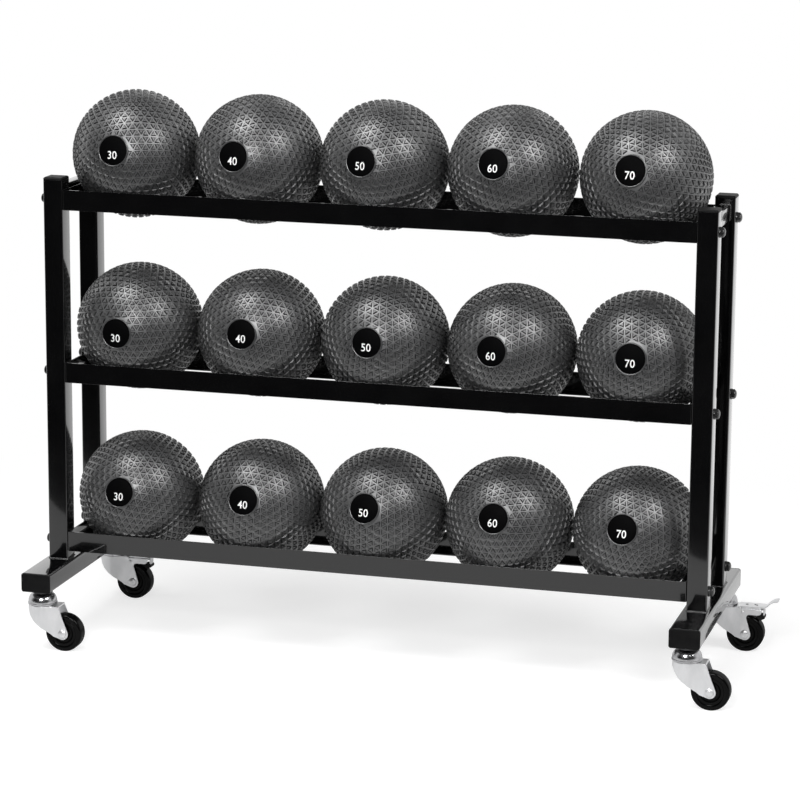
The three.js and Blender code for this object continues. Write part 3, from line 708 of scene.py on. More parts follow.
FINISHES = {
    "Frame paint": Finish(
        "frame_paint", "paint", "paint_worn", 0.14, 0.05, 9.0, 420.0, 130.0, 0.6, 0.000004,
        coat=1.0, coat_roughness=0.05, gloss=0.27,
    ),
    "Cap plastic": Finish(
        "cap_plastic", "plastic", "plastic_light", 0.42, 0.12, 40.0, 1600.0, 300.0, 0.3, 0.00003, gloss=0.08,
    ),
    "Race chrome": Finish(
        "race_chrome", "chrome", "chrome_haze", 0.16, 0.08, 60.0, 900.0, 120.0, 0.5, 0.000004, metallic=1.0,
    ),
    "Fork zinc": Finish(
        "fork_zinc", "zinc", "zinc_cloud", 0.3, 0.1, 38.0, 1400.0, 180.0, 0.4, 0.000012,
        metallic=0.85, stretch=0.45,
    ),
    "Dark steel": Finish(
        "collar_steel", "collar", "collar_light", 0.3, 0.15, 70.0, 1500.0, 200.0, 0.4, 0.00002, metallic=0.6,
    ),
    "Black bolts": Finish(
        "collar_steel", "bolt", "bolt_worn", 0.26, 0.14, 80.0, 1400.0, 240.0, 0.4, 0.00002,
        coat=0.5, coat_roughness=0.12,
    ),
    "Tyre": Finish(
        "wheel_rubber", "tyre", "tyre_dust", 0.4, 0.12, 45.0, 1300.0, 220.0, 0.4, 0.00002,
        coat=0.2, coat_roughness=0.12, gloss=0.0,
    ),
    "Shoe rubber": Finish(
        "shoe_rubber", "shoe", "tyre_dust", 0.6, 0.15, 60.0, 1100.0, 240.0, 0.4, 0.00008, gloss=0.2,
    ),
    "Label vinyl": Finish(
        "ball_rubber", "label", "paint", 0.5, 0.1, 60.0, 900.0, 120.0, 0.5, 0.00001, gloss=0.02,
    ),
    "Number print": Finish(
        "ball_rubber", "number", "number_worn", 0.45, 0.1, 120.0, 2200.0, 400.0, 0.4, 0.00003,
    ),
    "Label ring": Finish(
        "ball_rubber", "ring", "rubber", 0.3, 0.1, 90.0, 1500.0, 260.0, 0.4, 0.00002,
        coat=1.0, coat_roughness=0.18,
    ),
    "Ball rubber": Finish(
        "ball_rubber", "rubber", "rubber_dust", 0.42, 0.08, 22.0, 1500.0, 260.0, 0.35, 0.00003,
        coat=1.0, coat_roughness=0.41, gloss=0.3,
    ),
}
RUBBER_COAT_IOR = 1.9
# How much of the rubber's gloss the studs' tops and walls lose
STUD_TOP_LOSS, STUD_WALL_LOSS = 0.45, 0.68


def cloud_group():
    """Two colours and a swing of roughness that follow soft clouds."""
    group, given, leave = new_group("Soft clouds", "ShaderNodeTree", {
        "Vector": "Vector", "Color": "Color", "Cloud Color": "Color", "Scale": 30.0, "Roughness": 0.4,
        "Roughness Swing": 0.1,
    }, {"Color": "Color", "Roughness": "Float"})
    noise = node(group, "ShaderNodeTexNoise", {
        "Vector": given["Vector"], "Scale": given["Scale"], "Detail": 5.0, "Roughness": 0.6,
    })
    cloud_start, cloud_end = 0.35, 0.7
    mask = ramp(group, noise, cloud_start, cloud_end, kind="LINEAR")
    wire(group, leave, {
        "Color": tint(group, mask, given["Color"], given["Cloud Color"]),
        "Roughness": maths(group, "MULTIPLY_ADD", mask, given["Roughness Swing"], given["Roughness"]),
    })


def grain_group():
    """Height of a fine grain with a coarser waviness below it."""
    group, given, leave = new_group("Fine grain", "ShaderNodeTree", {
        "Vector": "Vector", "Fine Scale": 900.0, "Wave Scale": 120.0, "Wave Share": 0.5,
    }, {"Height": "Float"})
    fine, wave = (
        node(group, "ShaderNodeTexNoise", {
            "Vector": given["Vector"], "Scale": given[scale], "Detail": detail,
        })
        for scale, detail in (("Fine Scale", 3.0), ("Wave Scale", 2.0))
    )
    wire(group, leave, {"Height": blend(group, given["Wave Share"], fine, wave)})


def rgba(values):
    """Opaque colour."""
    return (*values, 1.0)


def make_finish(name, look, colours):
    """Material whose colour, roughness and relief come from the shared groups."""
    material = bpy.data.materials.new(name)
    material.use_nodes = True
    tree = material.node_tree
    coordinates = node(tree, "ShaderNodeTexCoord")
    spread = node(tree, "ShaderNodeMapping", {
        "Vector": coordinates.outputs["Object"], "Scale": (1.0, 1.0, look.stretch),
    })
    clouds = node(tree, "ShaderNodeGroup", {
        "Vector": spread, "Color": rgba(getattr(colours, look.tone)),
        "Cloud Color": rgba(getattr(colours, look.cloud)), "Scale": look.cloud_scale,
        "Roughness": look.roughness, "Roughness Swing": look.swing,
    }, node_tree=bpy.data.node_groups["Soft clouds"])
    grain = node(tree, "ShaderNodeGroup", {
        "Vector": spread, "Fine Scale": look.fine_scale, "Wave Scale": look.wave_scale,
        "Wave Share": look.wave_share,
    }, node_tree=bpy.data.node_groups["Fine grain"])
    shader = wire(tree, tree.nodes["Principled BSDF"], {
        "Metallic": look.metallic, "Specular IOR Level": look.gloss,
        "Coat Weight": look.coat, "Coat Roughness": look.coat_roughness,
        "Base Color": clouds.outputs["Color"], "Roughness": clouds.outputs["Roughness"],
        "Normal": node(tree, "ShaderNodeBump", {"Strength": 1.0, "Distance": look.relief, "Height": grain}),
    })
    return tree, shader, clouds


def dress_studs(tree, shader, clouds, colours):
    """Glossy channels, duller studs' tops, and walls almost without gloss whose dark colour is painted shade.
    """
    tops, walls = (
        node(tree, "ShaderNodeAttribute", attribute_name=label).outputs["Fac"]
        for label in ("stud_top", "stud_wall")
    )
    top_tone = tint(tree, tops, clouds.outputs["Color"], rgba(colours.rubber_stud))
    top_polish = maths(tree, "MULTIPLY_ADD", tops, -STUD_TOP_LOSS, 1.0)
    wire(tree, shader, {
        "Coat IOR": RUBBER_COAT_IOR,
        # The walls' darker colour is painted shade
        "Base Color": tint(tree, walls, top_tone, rgba(colours.rubber_wall)),
        "Coat Weight": maths(tree, "MULTIPLY_ADD", walls, -STUD_WALL_LOSS, top_polish, use_clamp=True),
    })


# Operators

class BALLCART_OT_finishes(bpy.types.Operator):
    """Makes the paint, plating, plastic and rubber"""

    bl_idname = "ballcart.finishes"
    bl_label = "Finishes"

    def execute(self, context):
        colours = context.scene.cart_colours
        cloud_group()
        grain_group()
        made = {name: make_finish(name, look, colours) for name, look in FINISHES.items()}
        dress_studs(*made["Ball rubber"], colours)
        return {"FINISHED"}


class BALLCART_OT_tubes(bpy.types.Operator):
    """Builds the posts, feet, cross tubes and trays with softly rounded edges"""

    bl_idname = "ballcart.tubes"
    bl_label = "Tubes and Trays"

    def execute(self, context):
        sizes = context.scene.cart_frame
        for corner in CORNERS:
            low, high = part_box(f"post_{corner}")
            centre, width, depth = footprint(f"post_cap_{corner}")
            mesh = hollow_tube(
                f"post_{corner}_tube", width, depth, sizes.post_corner, sizes.post_wall, low.z, high.z
            )
            mesh.transform(Matrix.Translation(centre))
            stand_in(shaded(mesh, limit=32.0), "Frame paint", f"post_{corner}")
        for name in [f"{kind}_{side}" for kind in ("foot", "cross_tube") for side in SIDES]:
            stand_in(merged_copy(name, "steel", sizes.soft_edge), "Frame paint", name)
        for name in [f"tray_{tier}" for tier in TIERS]:
            stand_in(merged_copy(name, "steel", sizes.rail_edge, segments=3), "Frame paint", name)
        return {"FINISHED"}


class BALLCART_OT_welds(bpy.types.Operator):
    """Lays the weld beads round the posts' feet and the ends of the cross tubes"""

    bl_idname = "ballcart.welds"
    bl_label = "Weld Beads"

    def execute(self, context):
        sizes = context.scene.cart_frame
        points, edges = [], []

        def seam(loop):
            start = len(points)
            points.extend(loop)
            edges.extend((start + step, start + (step + 1) % len(loop)) for step in range(len(loop)))

        for corner in CORNERS:
            centre, width, depth = footprint(f"post_cap_{corner}")
            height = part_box(f"foot_{corner.split('_')[0]}")[1].z
            outline = rounded_outline(width, depth, sizes.post_corner)
            seam([(centre.x + x, centre.y + y, height) for x, y in outline])
        for side in SIDES:
            low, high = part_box(f"cross_tube_{side}")
            centre = (low + high) / 2
            outline = rounded_outline(high.x - low.x, high.z - low.z, sizes.post_corner)
            for y in (low.y, high.y):
                seam([(centre.x + x, y, centre.z + z) for x, z in outline])
        mesh = grown("weld_beads", mesh_from("weld_seams", points, edges=edges), weld_tree(), {
            **sized_inputs(sizes, "Bead Radius", "Bead Pitch", "Unevenness"),
            "Paint": bpy.data.materials["Frame paint"],
        })
        placed(shaded(mesh, limit=60.0), "Frame paint", "frame")
        return {"FINISHED"}


class BALLCART_OT_bolts(bpy.types.Operator):
    """Sets the bolts that hold the trays between the posts"""

    bl_idname = "ballcart.bolts"
    bl_label = "Tray Bolts"

    def execute(self, context):
        sizes = context.scene.cart_bolts
        tree = bolt_tree()
        for side, way in zip(SIDES, (-1, 1)):
            points = []
            for end in ("front", "rear"):
                centre, width, _ = footprint(f"post_cap_{side}_{end}")
                points += [(centre.x + way * width / 2, centre.y, middle(f"tray_{tier}").z) for tier in TIERS]
            mesh = grown(f"tray_bolts_{side}", mesh_from("bolt_places", points), tree, {
                **sized_inputs(
                    sizes, "Washer Radius", "Washer Thickness", "Nut Height", "Dome Height",
                    "Back Nut Height", "Back Nut Drop", "Bolt Radius"
                ),
                "Outward": (float(way), 0.0, 0.0),
                "Nut Corner": sizes.nut_flats / 2 / math.cos(math.radians(30.0)),
                "Steel": bpy.data.materials["Black bolts"],
            })
            placed(shaded(mesh), "Black bolts", "frame")
        return {"FINISHED"}


class BALLCART_OT_caps(bpy.types.Operator):
    """Builds the moulded caps in the posts and feet"""

    bl_idname = "ballcart.caps"
    bl_label = "End Caps"

    def execute(self, context):
        sizes = context.scene.cart_frame
        for corner in CORNERS:
            for kind, edge in (("post_cap", sizes.cap_edge), ("foot_cap", sizes.soft_edge)):
                name = f"{kind}_{corner}"
                stand_in(merged_copy(name, "moulded", edge, segments=3, limit=25.0), "Cap plastic", name)
        return {"FINISHED"}


class BALLCART_OT_stems(bpy.types.Operator):
    """Turns the caster stems with their collars, and the chrome cups of the ball races"""

    bl_idname = "ballcart.stems"
    bl_label = "Stems and Races"

    def execute(self, context):
        sizes = context.scene.cart_casters
        for corner in CORNERS:
            stem, race = f"caster_stem_{corner}", f"caster_race_{corner}"
            spot = Matrix.Translation(footprint(stem)[0])
            steps = sizes.turned_steps
            mesh = turned(stem + "_turned", stem_profile(stem, sizes, corner), steps)
            mesh.transform(spot)
            stand_in(shaded(mesh), "Dark steel", stem)
            mesh = turned(race + "_cup", race_profile(race, sizes), steps, closed=True)
            mesh.transform(spot)
            stand_in(shaded(mesh, limit=28.0), "Race chrome", race)
        return {"FINISHED"}


def stem_profile(name, sizes, corner, tip_share=0.8, foot_share=0.72, neck_share=0.74):
    """Head below the fork, stem, stepped collar under the foot and bevelled upper end."""
    low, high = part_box(name)
    collar_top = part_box(f"foot_{corner.split('_')[0]}")[0].z - SEAT_GAP
    collar_low = collar_top - sizes.collar_height
    step_top = collar_low + sizes.collar_step
    stem, head, head_edge = sizes.stem_radius, sizes.stem_head, sizes.stem_edge
    head_top = low.z + 2 * head_edge
    radius, edge, bevel = sizes.collar_radius, sizes.collar_edge, sizes.bevel
    return [
        (0.0, low.z), (head - tip_share * head_edge, low.z),
        *arc((head - head_edge, low.z + head_edge), head_edge, -60, 0, 3),
        (head, head_top), (stem, head_top), (stem, collar_low),
        (foot_share * radius, collar_low), (neck_share * radius, step_top),
        *arc((radius - edge, step_top + edge), edge, -90, 0, 4),
        *arc((radius - edge, collar_top - edge), edge, 0, 90, 4),
        (stem, collar_top), (stem, high.z - bevel), (stem - bevel, high.z), (0.0, high.z),
    ]


def race_profile(name, sizes):
    """Skirt about the stem, hollow below the cup, straight rim, groove and bulging crown."""
    low, high = (point.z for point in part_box(name))
    wall, edge, outer = sizes.race_wall, sizes.edge, sizes.race_radius
    rim_low = low + sizes.fine_edge
    rim_high = rim_low + sizes.race_rim
    waist, bore = outer - sizes.race_groove, sizes.stem_radius + SEAT_GAP
    return [
        (bore, low), (sizes.race_bore, low), (sizes.race_bore, high - wall),
        (sizes.race_crown - wall, high - wall), (outer - wall, rim_high), (outer - wall, rim_low),
        (outer - edge, rim_low), (outer, rim_low + edge),
        (outer, rim_high - 2 * edge), (waist, rim_high - sizes.fine_edge),
        *arc((sizes.race_crown, rim_high), waist - sizes.race_crown, 0, 90, 12, high - rim_high),
        (bore, high),
    ]


class BALLCART_OT_forks(bpy.types.Operator):
    """Builds the pressed caster forks and the axle bolts through them"""

    bl_idname = "ballcart.forks"
    bl_label = "Forks and Axles"

    def execute(self, context):
        edge = context.scene.cart_frame.soft_edge
        for corner in CORNERS:
            name = f"caster_fork_{corner}"
            stand_in(merged_copy(name, "pressed", edge, segments=3, limit=36.0), "Fork zinc", name)
            name = f"caster_axle_{corner}"
            mesh = axle_bolt(name, middle(f"caster_wheel_{corner}"), context.scene.cart_casters)
            stand_in(shaded(mesh), "Fork zinc", name)
        return {"FINISHED"}


def axle_bolt(name, centre, sizes, rim_share=0.3, dome_share=0.58):
    """Domed head in front of the fork, rod through the wheel and nut behind the fork."""
    low, high = (point.y - centre.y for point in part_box(name))
    rod, radius, edge, end = sizes.axle_radius, sizes.head_radius, sizes.edge, sizes.wide_edge
    face = sizes.fork_half
    rise = -face - low
    dome = dome_share * rise
    head = turned(name + "_head", [
        (0.0, -rod), (rod, -rod), (rod, 0.0), (radius, 0.0), (radius, rim_share * rise),
        *arc((0.0, rise - dome), radius - sizes.fine_edge, 0, 90, 8, dome),
    ], steps=48)
    shaft = turned(name + "_rod", [
        (0.0, SEAT_GAP - face), (rod, SEAT_GAP - face), (rod, high - end), (rod - end, high), (0.0, high),
    ], steps=32)
    top = high - sizes.thread_end
    nut = turned(name + "_nut", [
        (0.0, face), (radius - edge, face), (radius, face + edge),
        (radius, top - end), (radius - sizes.bevel, top), (0.0, top),
    ], steps=6)
    front = centre - Vector((0.0, face, 0.0))
    return joined(name + "_bolt", [laid(head, 1, front), laid(shaft, -1, centre), laid(nut, -1, centre)])


class BALLCART_OT_wheels(bpy.types.Operator):
    """Turns the wheels: tread with round shoulders, groove about the hub, and boss"""

    bl_idname = "ballcart.wheels"
    bl_label = "Wheels"

    def execute(self, context):
        sizes = context.scene.cart_casters
        for corner in CORNERS:
            name = f"caster_wheel_{corner}"
            low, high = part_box(name)
            side = wheel_side(sizes, (high.y - low.y) / 2)
            profile = side + [(radius, -height) for radius, height in reversed(side[:-1])]
            mesh = turned(name + "_turned", profile, sizes.turned_steps, closed=True)
            stand_in(shaded(laid(mesh, 1, (low + high) / 2)), "Tyre", name)
        return {"FINISHED"}


def wheel_side(sizes, boss_half, lip_rise=0.0001, tread_share=0.45):
    """Profile from the bore over boss, web, ridge, groove and the line on the tyre to the tread's middle."""
    half, radius, corner = sizes.wheel_width / 2, sizes.wheel_radius, sizes.tread_corner
    fine, edge, wide = sizes.fine_edge, sizes.edge, sizes.wide_edge
    boss, hub, groove = sizes.boss_radius, sizes.hub_radius, sizes.hub_groove
    bore, ridge, line = sizes.axle_radius + SEAT_GAP, hub - groove, hub + sizes.tyre_line
    web_low, ridge_low = half - sizes.hub_web, half - sizes.hub_ridge
    return [
        (bore, boss_half - edge), (bore + edge, boss_half), (boss - wide, boss_half),
        (boss, boss_half - wide), (boss + edge, web_low),
        (ridge - wide, web_low + fine), (ridge, ridge_low), (ridge + edge, ridge_low),
        (hub - groove / 2, half - groove), (hub - edge, half - sizes.hub_lip), (hub, half),
        (line, half + lip_rise), (line + fine, half - fine), (line + fine + edge, half),
        *arc((radius - corner, half - corner), corner, 90, 12, 6),
        (radius, tread_share * half), (radius, 0.0),
    ]


class BALLCART_OT_brakes(bpy.types.Operator):
    """Builds the brake levers of the rear casters, the thin dark leaves below them as painted shade, and the
    shoes
    """

    bl_idname = "ballcart.brakes"
    bl_label = "Brakes"

    def execute(self, context):
        sizes = context.scene.cart_brakes
        lever_edge = 0.6 * context.scene.cart_frame.soft_edge
        for side in SIDES:
            body = f"brake_{side}_rear"
            lever, shoe = f"brake_lever_{side}_rear", f"brake_shoe_{side}_rear"
            low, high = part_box(lever)
            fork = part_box(f"caster_fork_{side}_rear")[1]
            stand_in(merged_copy(lever, "pressed", lever_edge, limit=36.0), "Fork zinc", lever)
            rims, shade_liners = lever_openings(lever, sizes, fork)
            rims = joined(f"brake_rims_{side}_rear", rims + pin_heads(lever, sizes))
            placed(shaded(rims), "Fork zinc", body)
            # Dark walls in the lever's openings: painted shade
            placed(shaded(joined(f"brake_liners_{side}_rear", shade_liners)), "Dark steel", body)
            stand_in(shoe_block(shoe, sizes), "Shoe rubber", shoe)
            # Thin dark leaf below the lever: painted shade seen through its hole and slot
            shade_leaf = leaf(
                f"brake_spring_{side}_rear", low.x + sizes.leaf_inset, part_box(shoe)[1].x, middle(shoe).y,
                sizes.leaf_width, fork.z - sizes.leaf_drop, sizes.leaf_sheet, sizes.leaf_bow
            )
            placed(shaded(shade_leaf), "Dark steel", body)
        return {"FINISHED"}


def lever_openings(lever, sizes, fork):
    """Raised rims of the hole and the slot in a lever's sheet, and dark walls inside them that are painted
    shade.
    """
    low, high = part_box(lever)
    sheet_low = fork.z + sizes.sheet_gap
    rim, wall = sizes.rim_width, sizes.liner_wall
    rim_top = sheet_low + sizes.sheet + sizes.rim_rise
    rims, shade_liners = [], []
    for x, along, across, turn in (
        (low.x + sizes.hole_inset, sizes.hole_width, sizes.hole_width, 0.0),
        (fork.x - sizes.slot_inset, sizes.slot_length, sizes.slot_width, sizes.slot_turn),
    ):
        corner = across / 2
        rims.append(hollow_tube(
            lever + "_rim", along + 2 * rim, across + 2 * rim, corner + rim, rim, sheet_low + wall, rim_top
        ))
        # Thin dark wall inside the opening: painted shade
        shade_liners.append(hollow_tube(
            lever + "_liner", along, across, corner, wall, sheet_low, rim_top - wall
        ))
        spot = Matrix.Translation((x, (low.y + high.y) / 2, 0.0)) @ Matrix.Rotation(turn, 4, "Z")
        rims[-1].transform(spot)
        shade_liners[-1].transform(spot)
    return rims, shade_liners


def pin_heads(lever, sizes):
    """Low domes on both ends of a lever's pivot pin."""
    low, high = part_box(lever)
    points = [vertex.co for vertex in frame["nodes"][lever].data.vertices]
    end = [(point.x, point.z) for point in points if abs(point.y - low.y) < 10 * SAME_POINT]
    pin_x, pin_z = ((min(values) + max(values)) / 2 for values in zip(*end))
    radius, seat = sizes.rivet_radius, -sizes.rivet_seat
    profile = [(0.0, seat), (radius, seat), *arc((0.0, 0.0), radius, 0, 90, 6, sizes.rivet_rise)]
    return [
        laid(turned(lever + "_rivet", profile, steps=32), way, (pin_x, face, pin_z))
        for way, face in ((1, low.y), (-1, high.y))
    ]


def shoe_block(shoe, sizes):
    """Rubber block round the lever's tongue, with its underside on the slant of the tread."""
    low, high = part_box(shoe)
    top, wrap = low.z + sizes.shoe_height, high.x + sizes.shoe_wrap
    toe_rise, toe_reach, tongue_rise, heel_rise = 0.0068, 0.0082, 0.0032, 0.0045
    toe_bevel, heel_drop, heel_reach = 0.003, 0.002, 0.0025
    return slab(shoe + "_moulded", [
        (low.x, low.z + toe_rise), (low.x + toe_reach, low.z),
        (high.x, low.z + tongue_rise), (wrap, low.z + heel_rise),
        (wrap, top - heel_drop), (wrap - heel_reach, top),
        (low.x + toe_bevel, top), (low.x, top - toe_bevel),
    ], low.y, high.y, sizes.shoe_edge)


def lattice(cells, low_share, turn):
    """Unit ball of triangles, with each face's share of the stud height in the attribute lift."""
    golden = (1 + math.sqrt(5)) / 2
    corners = []
    for first in (-1, 1):
        for second in (-golden, golden):
            corners += [(0.0, first, second), (first, second, 0.0), (second, 0.0, first)]
    corners = [turn @ Vector(point).normalized() for point in corners]
    longest = 1.01 * min((corners[0] - other).length for other in corners[1:])
    found, points, faces, lifts = {}, [], [], []

    def place(point):
        point = point.normalized()
        key = tuple(round(value, 5) for value in point)
        if key not in found:
            found[key] = len(points)
            points.append(point)
        return found[key]

    for first, second, third in combinations(corners, 3):
        if max((first - second).length, (second - third).length, (third - first).length) > longest:
            continue
        if first.cross(second).dot(third) < 0:
            second, third = third, second
        across, along = (second - first) / cells, (third - first) / cells
        for row in range(cells):
            for column in range(cells - row):
                corner = first + across * column + along * row
                faces.append((place(corner), place(corner + across), place(corner + along)))
                lifts.append(1.0)
                if column < cells - row - 1:
                    far = corner + across + along
                    faces.append((place(corner + across), place(far), place(corner + along)))
                    lifts.append(low_share)
    mesh = mesh_from("lattice", points, faces)
    mesh.attributes.new("lift", "FLOAT", "FACE").data.foreach_set("value", lifts)
    return mesh


def ball_place(name):
    """Centre and radius of a ball's solid, its label's direction and the label's outer radius."""
    low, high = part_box(name)
    radius = (high.x - low.x) / 2
    centre = Vector(((low.x + high.x) / 2, high.y - radius, high.z - radius))
    _, tier, place = name.split("_")
    turn, tilt = (math.radians(degrees) for degrees in LABEL_TURNS[tier][int(place) - 1])
    direction = Vector((math.sin(turn) * math.cos(tilt), -math.cos(turn) * math.cos(tilt), math.sin(tilt)))
    outer = max((vertex.co - centre).length for vertex in frame["nodes"][name].data.vertices)
    return centre, radius, direction, outer


def ball_names():
    """Each ball's CAD node with its place in the row."""
    return [(f"ball_{tier}_{place}", place) for tier in TIERS for place in range(1, BALLS_PER_TIER + 1)]


class BALLCART_OT_balls(bpy.types.Operator):
    """Grows the studded rubber skins of the balls"""

    bl_idname = "ballcart.balls"
    bl_label = "Ball Skins"

    def execute(self, context):
        sizes = context.scene.cart_balls
        tree = stud_tree()
        for count, (name, _) in enumerate(ball_names()):
            centre, radius, direction, _ = ball_place(name)
            turn = Euler([first + more * count for first, more in zip(FIRST_TURN, MORE_TURN)]).to_matrix()
            mesh = grown(name + "_skin", lattice(sizes.cells, sizes.low_share, turn), tree, {
                **sized_inputs(sizes, "Stud Height", "Stud Foot", "Stud Top"),
                "Radius": radius - sizes.skin_drop,
                "Label Direction": tuple(direction),
                "Label Turn": (sizes.ring_radius + sizes.ring_margin) / radius,
                "Rubber": bpy.data.materials["Ball rubber"],
            })
            mesh.transform(Matrix.Translation(centre))
            stand_in(shaded(mesh, limit=24.0), "Ball rubber", name)
        return {"FINISHED"}


class BALLCART_OT_labels(bpy.types.Operator):
    """Builds the label discs, their rings and the printed numbers"""

    bl_idname = "ballcart.labels"
    bl_label = "Ball Labels"

    def execute(self, context):
        sizes = context.scene.cart_balls
        label = sizes.label_radius
        ring_half = (sizes.ring_radius - label) / 2
        ring_middle = label + ring_half
        for name, place in ball_names():
            centre, radius, direction, outer = ball_place(name)
            facing = Matrix.Translation(centre) @ direction.to_track_quat("Z", "Y").to_matrix().to_4x4()
            back, edge = outer - sizes.label_depth, math.degrees(math.acos(label / outer))
            level = math.sqrt(radius * radius - ring_middle * ring_middle) + sizes.ring_lift
            disc = turned(name + "_label", [
                (0.0, back), (label, back), *arc((0.0, 0.0), outer, edge, 90, 10),
            ], steps=64)
            ring_profile = arc((ring_middle, level), ring_half, 0, 330, 11)
            ring = turned(name + "_ring", ring_profile, steps=64, closed=True)
            text = str(NUMBER_START + NUMBER_STEP * place)
            number = printed_number(name + "_number", text, sizes, outer + sizes.print_lift)
            shaded(disc)
            shaded(ring, limit=60.0)
            for mesh, finish in ((disc, "Label vinyl"), (ring, "Label ring"), (number, "Number print")):
                mesh.transform(facing)
                placed(mesh, finish, BODY_OF[name])
        return {"FINISHED"}


def printed_number(name, text, sizes, radius):
    """Digits laid on a sphere about the origin, upright about +Z."""
    curve = bpy.data.curves.new(name, "FONT")
    curve.body = text
    curve.align_x = "CENTER"
    curve.align_y = "CENTER"
    curve.offset = 0.006
    curve.space_character = 1.05
    mesh = plain_mesh(linked(bpy.data.objects.new(name + "_text", curve)), name)
    (low_x, high_x), (low_y, high_y) = (
        (min(values), max(values)) for values in zip(*(vertex.co.xy for vertex in mesh.vertices))
    )
    scale = sizes.digit_height / (high_y - low_y)
    for vertex in mesh.vertices:
        x = (vertex.co.x - (low_x + high_x) / 2) * scale * sizes.digit_width
        y = (vertex.co.y - (low_y + high_y) / 2) * scale - sizes.digit_drop
        vertex.co = (x, y, math.sqrt(radius * radius - x * x - y * y))
    return outward(mesh)


class BALLCART_OT_stage(bpy.types.Operator):
    """Sets the camera, the lamps, the surroundings and the pale floor"""

    bl_idname = "ballcart.stage"
    bl_label = "Stage"

    def execute(self, context):
        scene, settings = context.scene, context.scene.cart_stage
        scene.view_settings.view_transform = "Standard"
        set_camera(scene, settings)
        set_lamps(settings)
        set_surroundings(scene, settings)
        set_floor(settings)
        return {"FINISHED"}


def set_camera(scene, settings):
    """Camera that sees the cart as in the photograph."""
    origin = sum((middle(f"post_cap_{corner}") for corner in CORNERS), Vector()) / len(CORNERS)
    origin.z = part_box("foot_left")[1].z
    aim = Euler((math.radians(90.0) - settings.pitch, 0.0, settings.yaw)).to_matrix().to_4x4()
    data = bpy.data.cameras.new("View")
    data.sensor_width = 36.0
    data.lens = settings.focal_length
    scene.camera = linked(bpy.data.objects.new("View", data))
    spot = Matrix.Translation(origin + Vector(settings.place))
    scene.camera.matrix_world = spot @ aim @ Matrix.Rotation(settings.roll, 4, "Z")


def set_lamps(settings):
    """Three square lamps that look at the middle of the cart."""
    aim = Vector((0.0, 0.0, 0.55))
    for name, place, size, energy in (
        ("High lamp", (-1.8, -1.85, 5.4), 2.2, settings.high_power),
        ("Right lamp", (3.1, -2.1, 3.9), 2.0, settings.right_power),
        ("Front lamp", (0.0, -4.6, 2.85), 1.6, settings.front_power),
    ):
        data = bpy.data.lights.new(name, "AREA")
        data.shape = "SQUARE"
        data.size = size
        data.energy = energy
        lamp = linked(bpy.data.objects.new(name, data))
        lamp.visible_camera = False
        lamp.location = place
        lamp.rotation_euler = (aim - Vector(place)).to_track_quat("-Z", "Y").to_euler()


def set_surroundings(scene, settings):
    """White for the camera; reflections see white behind the cart, a dark room in front and a dim ceiling."""
    world = bpy.data.worlds.new("Surroundings")
    world.use_nodes = True
    scene.world = world
    tree = world.node_tree
    tree.nodes.clear()
    path = node(tree, "ShaderNodeLightPath").outputs
    coordinates = node(tree, "ShaderNodeTexCoord")
    axes = node(tree, "ShaderNodeSeparateXYZ", {0: coordinates.outputs["Generated"]}).outputs
    front_end, back_start, front_light = -0.55, 0.1, 0.02
    ceiling_start, ceiling_end = 0.4, 0.85
    behind = ramp(tree, axes["Y"], front_end, back_start, front_light, 1.0)
    walls = blend(tree, ramp(tree, axes["Z"], ceiling_start, ceiling_end), behind, settings.ceiling)
    mirrored = blend(tree, path["Is Glossy Ray"], settings.sky_strength, walls)
    seen = blend(tree, path["Is Camera Ray"], mirrored, 1.0)
    light = node(tree, "ShaderNodeBackground", {"Color": WHITE, "Strength": seen})
    node(tree, "ShaderNodeOutputWorld", {"Surface": light})


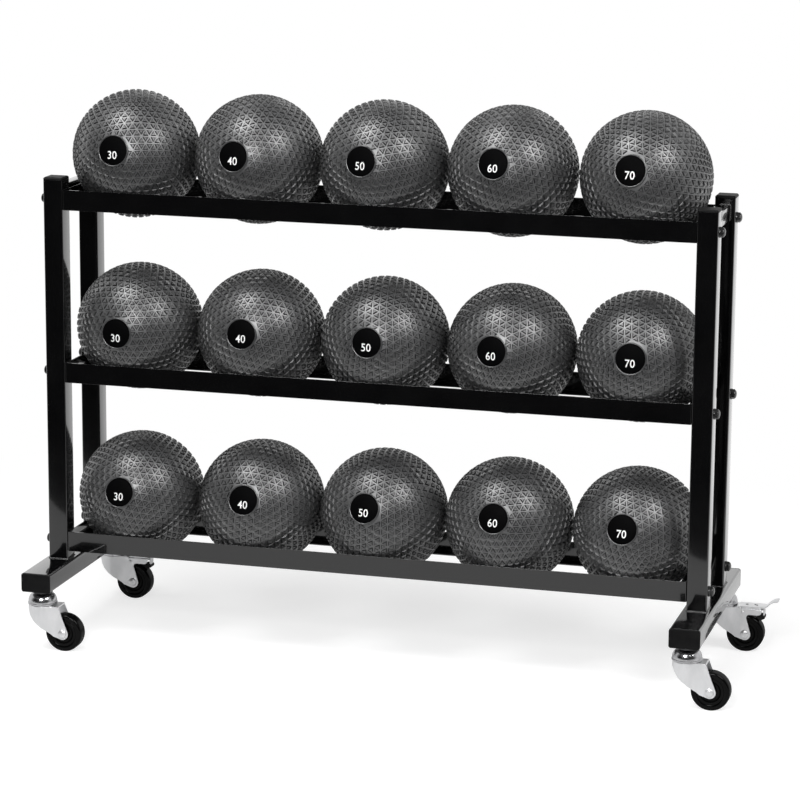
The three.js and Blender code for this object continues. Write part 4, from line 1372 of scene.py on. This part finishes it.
def set_floor(settings):
    """Pale floor that keeps the cart's shadow and turns to plain white further out."""
    low, high = cad_bounds
    front_room, back_room, half = 0.85, 7.0, 6.0
    fade_start, fade_end = 0.9, 1.9
    front, back = low.y - front_room, high.y + back_room
    mesh = mesh_from("Floor", [
        (-half, front, low.z), (half, front, low.z), (half, back, low.z), (-half, back, low.z),
    ], [(0, 1, 2, 3)])
    material = bpy.data.materials.new("Pale floor")
    material.use_nodes = True
    tree = material.node_tree
    path = node(tree, "ShaderNodeLightPath").outputs
    looked = maths(tree, "MAXIMUM", path["Is Camera Ray"], path["Is Glossy Ray"])
    mirrored = maths(tree, "MULTIPLY", path["Is Glossy Ray"], settings.floor_mirror)
    glow = maths(tree, "MULTIPLY_ADD", path["Is Camera Ray"], settings.floor_glow, mirrored)
    shader = wire(tree, tree.nodes["Principled BSDF"], {
        "Base Color": rgba(settings.floor), "Roughness": 0.95, "Specular IOR Level": 0.1,
        "Emission Color": WHITE, "Emission Strength": glow,
    })
    coordinates = node(tree, "ShaderNodeTexCoord")
    distance = node(tree, "ShaderNodeVectorMath", {0: coordinates.outputs["Object"]}, operation="LENGTH")
    far = ramp(tree, distance.outputs["Value"], fade_start, fade_end)
    white = node(tree, "ShaderNodeEmission", {"Color": WHITE, "Strength": 1.0})
    mixed = node(tree, "ShaderNodeMixShader", {0: maths(tree, "MULTIPLY", far, looked), 1: shader, 2: white})
    wire(tree, tree.nodes["Material Output"], {"Surface": mixed})
    mesh.materials.append(material)
    linked(bpy.data.objects.new("Floor", mesh))


class BALLCART_PT_panel(bpy.types.Panel):
    """Lists the steps that dress the ball cart"""

    bl_idname = "BALLCART_PT_panel"
    bl_label = "Ball Cart"
    bl_space_type = "VIEW_3D"
    bl_region_type = "UI"
    bl_category = "Ball Cart"

    def draw(self, context):
        for step in STEPS:
            self.layout.operator(step.bl_idname)


STEPS = (
    BALLCART_OT_finishes,
    BALLCART_OT_tubes,
    BALLCART_OT_welds,
    BALLCART_OT_bolts,
    BALLCART_OT_caps,
    BALLCART_OT_stems,
    BALLCART_OT_forks,
    BALLCART_OT_wheels,
    BALLCART_OT_brakes,
    BALLCART_OT_balls,
    BALLCART_OT_labels,
    BALLCART_OT_stage,
)
SETTINGS = (
    ("cart_colours", FinishColours),
    ("cart_balls", BallSizes),
    ("cart_frame", FrameSizes),
    ("cart_bolts", BoltSizes),
    ("cart_casters", CasterSizes),
    ("cart_brakes", BrakeSizes),
    ("cart_stage", StageSettings),
)


def register():
    for attribute, settings in SETTINGS:
        bpy.utils.register_class(settings)
        setattr(bpy.types.Scene, attribute, PointerProperty(type=settings))
    for step in (*STEPS, BALLCART_PT_panel):
        bpy.utils.register_class(step)


def unregister():
    for step in reversed((*STEPS, BALLCART_PT_panel)):
        bpy.utils.unregister_class(step)
    for attribute, settings in reversed(SETTINGS):
        delattr(bpy.types.Scene, attribute)
        bpy.utils.unregister_class(settings)


def main():
    register()
    for step in STEPS:
        group, call = step.bl_idname.split(".")
        getattr(getattr(bpy.ops, group), call)()


if __name__ == "__main__":
    main()
